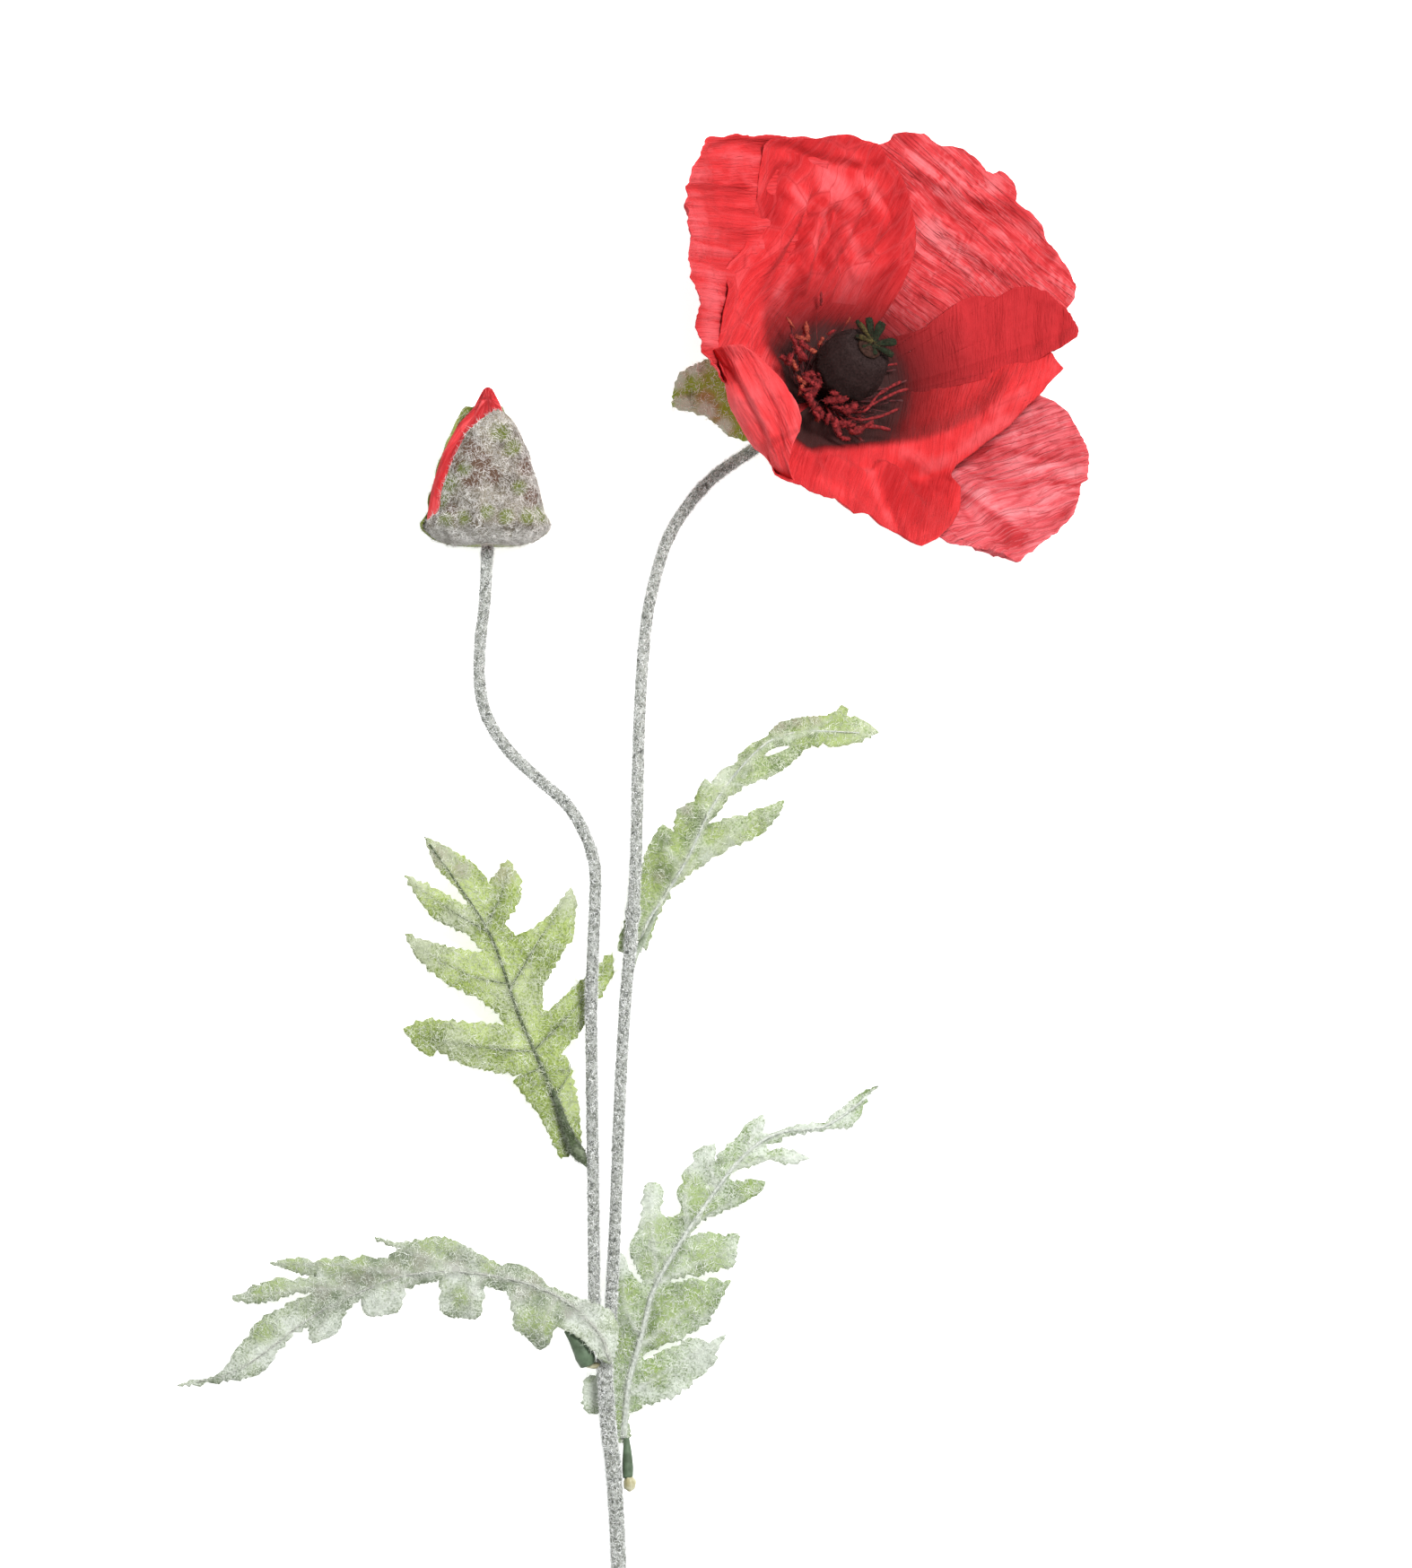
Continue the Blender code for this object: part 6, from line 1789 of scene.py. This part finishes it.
def make_bud():
    make_bud_core(crepe("bud_crepe_folds", "#d8585b", "#c3292d", "#9c181d"))
    husk = flocked(
        "bud_husk_flock", "#463e34", "#6e675a", "#918b7e", cloud_mm=5,
        patches=(("brown_and_shade", "#533a2d"), ("green", "#5c672b"), ("frost", "#85837b")),
    )
    green_husk = flocked("green_husk_flock", "#535e26", "#6f7c39", "#8a9555", cloud_mm=6)
    hair = plain("white_husk_fibre", "#a5a19b", "#eae8e5", 0.9, 2.5)
    make_bud_sepal("bud_sepal_front", husk, hair, 91, fibres=8.5)
    make_bud_sepal("bud_sepal_back", green_husk, hair, 92, fibres=1.5, flare=1.0)


def make_leaves():
    hair = plain("white_leaf_flock", "#a8b192", "#dfe4d3", 0.9, 2.0)
    frost = plain("frosted_leaf_flock", "#b3bbab", "#e9ede4", 0.9, 2.0)
    full = leaf_cloth("olive_leaf_cloth", "#5d6c36", "#84954f", "#a3b273", "#414c34", "#adb49a", "#93a456")
    curled = leaf_cloth("curled_leaf_cloth", "#5f6f46", "#879867", "#a6b383", "#b5bbae", "#b4bbac", "#93a460")
    soft = leaf_cloth("sage_leaf_cloth", "#5b6c42", "#81936a", "#9cab86", "#c3c6c1", "#c8cec5", "#869a58")
    # Its last colour is the grey-brown of the painted shade along the lower left leaf's ridge.
    grey = leaf_cloth(
        "frosted_leaf_cloth", "#6a755f", "#8b967b", "#a0aa90", "#a5a69f", "#ccd1ca", "#90a168", "#86827a",
    )
    dark_cord = plain("dark_olive_vein", "#3f4a31", "#5d6750", 0.95, 0.7, specular=0.1)
    pale_cord = plain("flocked_pale_vein", "#9da39a", "#cdd1ca", 0.95, 0.7, specular=0.1)
    grey_cord = plain("flocked_grey_vein", "#8b8d85", "#b4b6ae", 0.95, 0.7, specular=0.1)
    make_leaf("leaf_left", full, hair, 51, cord=dark_cord, cord_width=0.45, side_width=0.21)
    make_leaf("leaf_lower_left", grey, frost, 52, wave=1.1, rib=0.8, teeth=1.3, cord=grey_cord,
              cord_width=0.36)
    make_leaf("leaf_lower_right", soft, frost, 53, rib=0.8, teeth=1.4, cord=pale_cord, cord_width=0.68)
    make_leaf("leaf_upper_right", curled, hair, 54, wave=1.1, cord=pale_cord, cord_width=0.42)


def make_stems():
    dull = flocked("grey_green_stem_glue", "#50534f", "#83867f", "#aeb1ac", grain_mm=0.35, cloud_mm=1.0)
    flock = plain("white_stem_flock", "#b9bcb9", "#f6f7f6", 0.9, 0.9)
    make_stem("main_stem", MAIN_STEM_ROUTE, MAIN_STEM_RADIUS, 220, dull, flock, 61)
    make_stem("bloom_stem", BLOOM_STEM_ROUTE, BRANCH_RADIUS, 320, dull, flock, 62, collar=0.33)
    make_stem("bud_stem", BUD_STEM_ROUTE, BRANCH_RADIUS, 280, dull, flock, 63)
    plastic = plain("moulded_green_plastic", "#3e4d39", "#586b54", 0.6, 2.0, specular=0.3)
    vein = flocked("flocked_dark_stalk", "#333c27", "#4d5940", "#737d66", grain_mm=0.6, cloud_mm=3)
    pale_vein = flocked("flocked_pale_stalk", "#6d7762", "#8d9684", "#a9b0a0", grain_mm=0.6, cloud_mm=3)
    fur = plain("dark_stalk_flock", "#434c37", "#8d9484", 0.95, 1.2, specular=0.1)
    make_stalk("leaf_stalk_left", vein, [1.0, 1.2, 1.8, 2.1, 1.8, 1.4, 1.0, 0.6], flock=fur)
    make_stalk("leaf_stalk_upper_right", pale_vein, [1.3, 1.0, 0.8, 0.6, 0.4])
    make_stalk("leaf_stalk_lower_left", plastic, [2.6, 3.0, 2.4, 1.6, 0.8],
               [(-4.4, -12, 6.2), (-5.6, -9.4, 6.8), (-7.4, -6.6, 7.3), (-9.4, -4.4, 7.4)])
    make_stalk("leaf_stalk_lower_right", plastic, [1.5, 1.7, 1.5, 1.2, 0.8])
    glue = plain("dried_cream_glue", "#968f66", "#b9b79b", 0.35, 1.6, specular=0.5)
    for k, name in enumerate(GLUE_BEADS):
        make_bead(name, glue, 3.0 + k)


# --- Floor, light and camera ----------------------------------------------------------------------------

VIEW_CENTRE = np.array((21.8, 117.2, 0.0))
VIEW_HEIGHT = 349.6
CAMERA_DISTANCE = 6.0


def make_floor():
    """An opal light table, bright enough to wash out most of each shadow."""
    bpy.ops.object.select_all(action="DESELECT")
    bpy.ops.mesh.primitive_plane_add(size=6, location=(0, 0, -0.0004))
    floor = bpy.context.object
    floor.name = "floor"
    material, shader = new_material("opal_acrylic", roughness=1.0, specular=0.0)
    shader.inputs["Base Color"].default_value = linear("#f4f4f4")
    shader.inputs["Emission Color"].default_value = linear("#ffffff")
    shader.inputs["Emission Strength"].default_value = 0.6
    floor.data.materials.append(material)


def add_light(name, place, size, power):
    lamp = bpy.data.lights.new(name, "AREA")
    lamp.shape = "DISK"
    lamp.size = size
    lamp.energy = power
    holder = bpy.data.objects.new(name, lamp)
    holder.location = place
    holder.rotation_euler = (-Vector(place)).to_track_quat("-Z", "Y").to_euler()
    bpy.context.scene.collection.objects.link(holder)


def light_and_camera():
    scene = bpy.context.scene
    scene.view_settings.view_transform = "Standard"
    scene.world = bpy.data.worlds.new("soft_room")
    scene.world.use_nodes = True
    background = scene.world.node_tree.nodes["Background"]
    background.inputs["Color"].default_value = (1, 1, 1, 1)
    background.inputs["Strength"].default_value = 0.7
    add_light("overhead_softbox", (0.45, 0.55, 1.1), 0.4, 20)
    lens = bpy.data.cameras.new("camera")
    lens.lens = lens.sensor_width * CAMERA_DISTANCE / (VIEW_HEIGHT * MM)
    lens.clip_end = 50
    camera = bpy.data.objects.new("camera", lens)
    camera.location = Vector(VIEW_CENTRE * MM + FORK) + Vector((0, 0, CAMERA_DISTANCE))
    scene.collection.objects.link(camera)
    scene.camera = camera


make_stems()
make_leaves()
make_bud()
make_bloom()
make_floor()
light_and_camera()
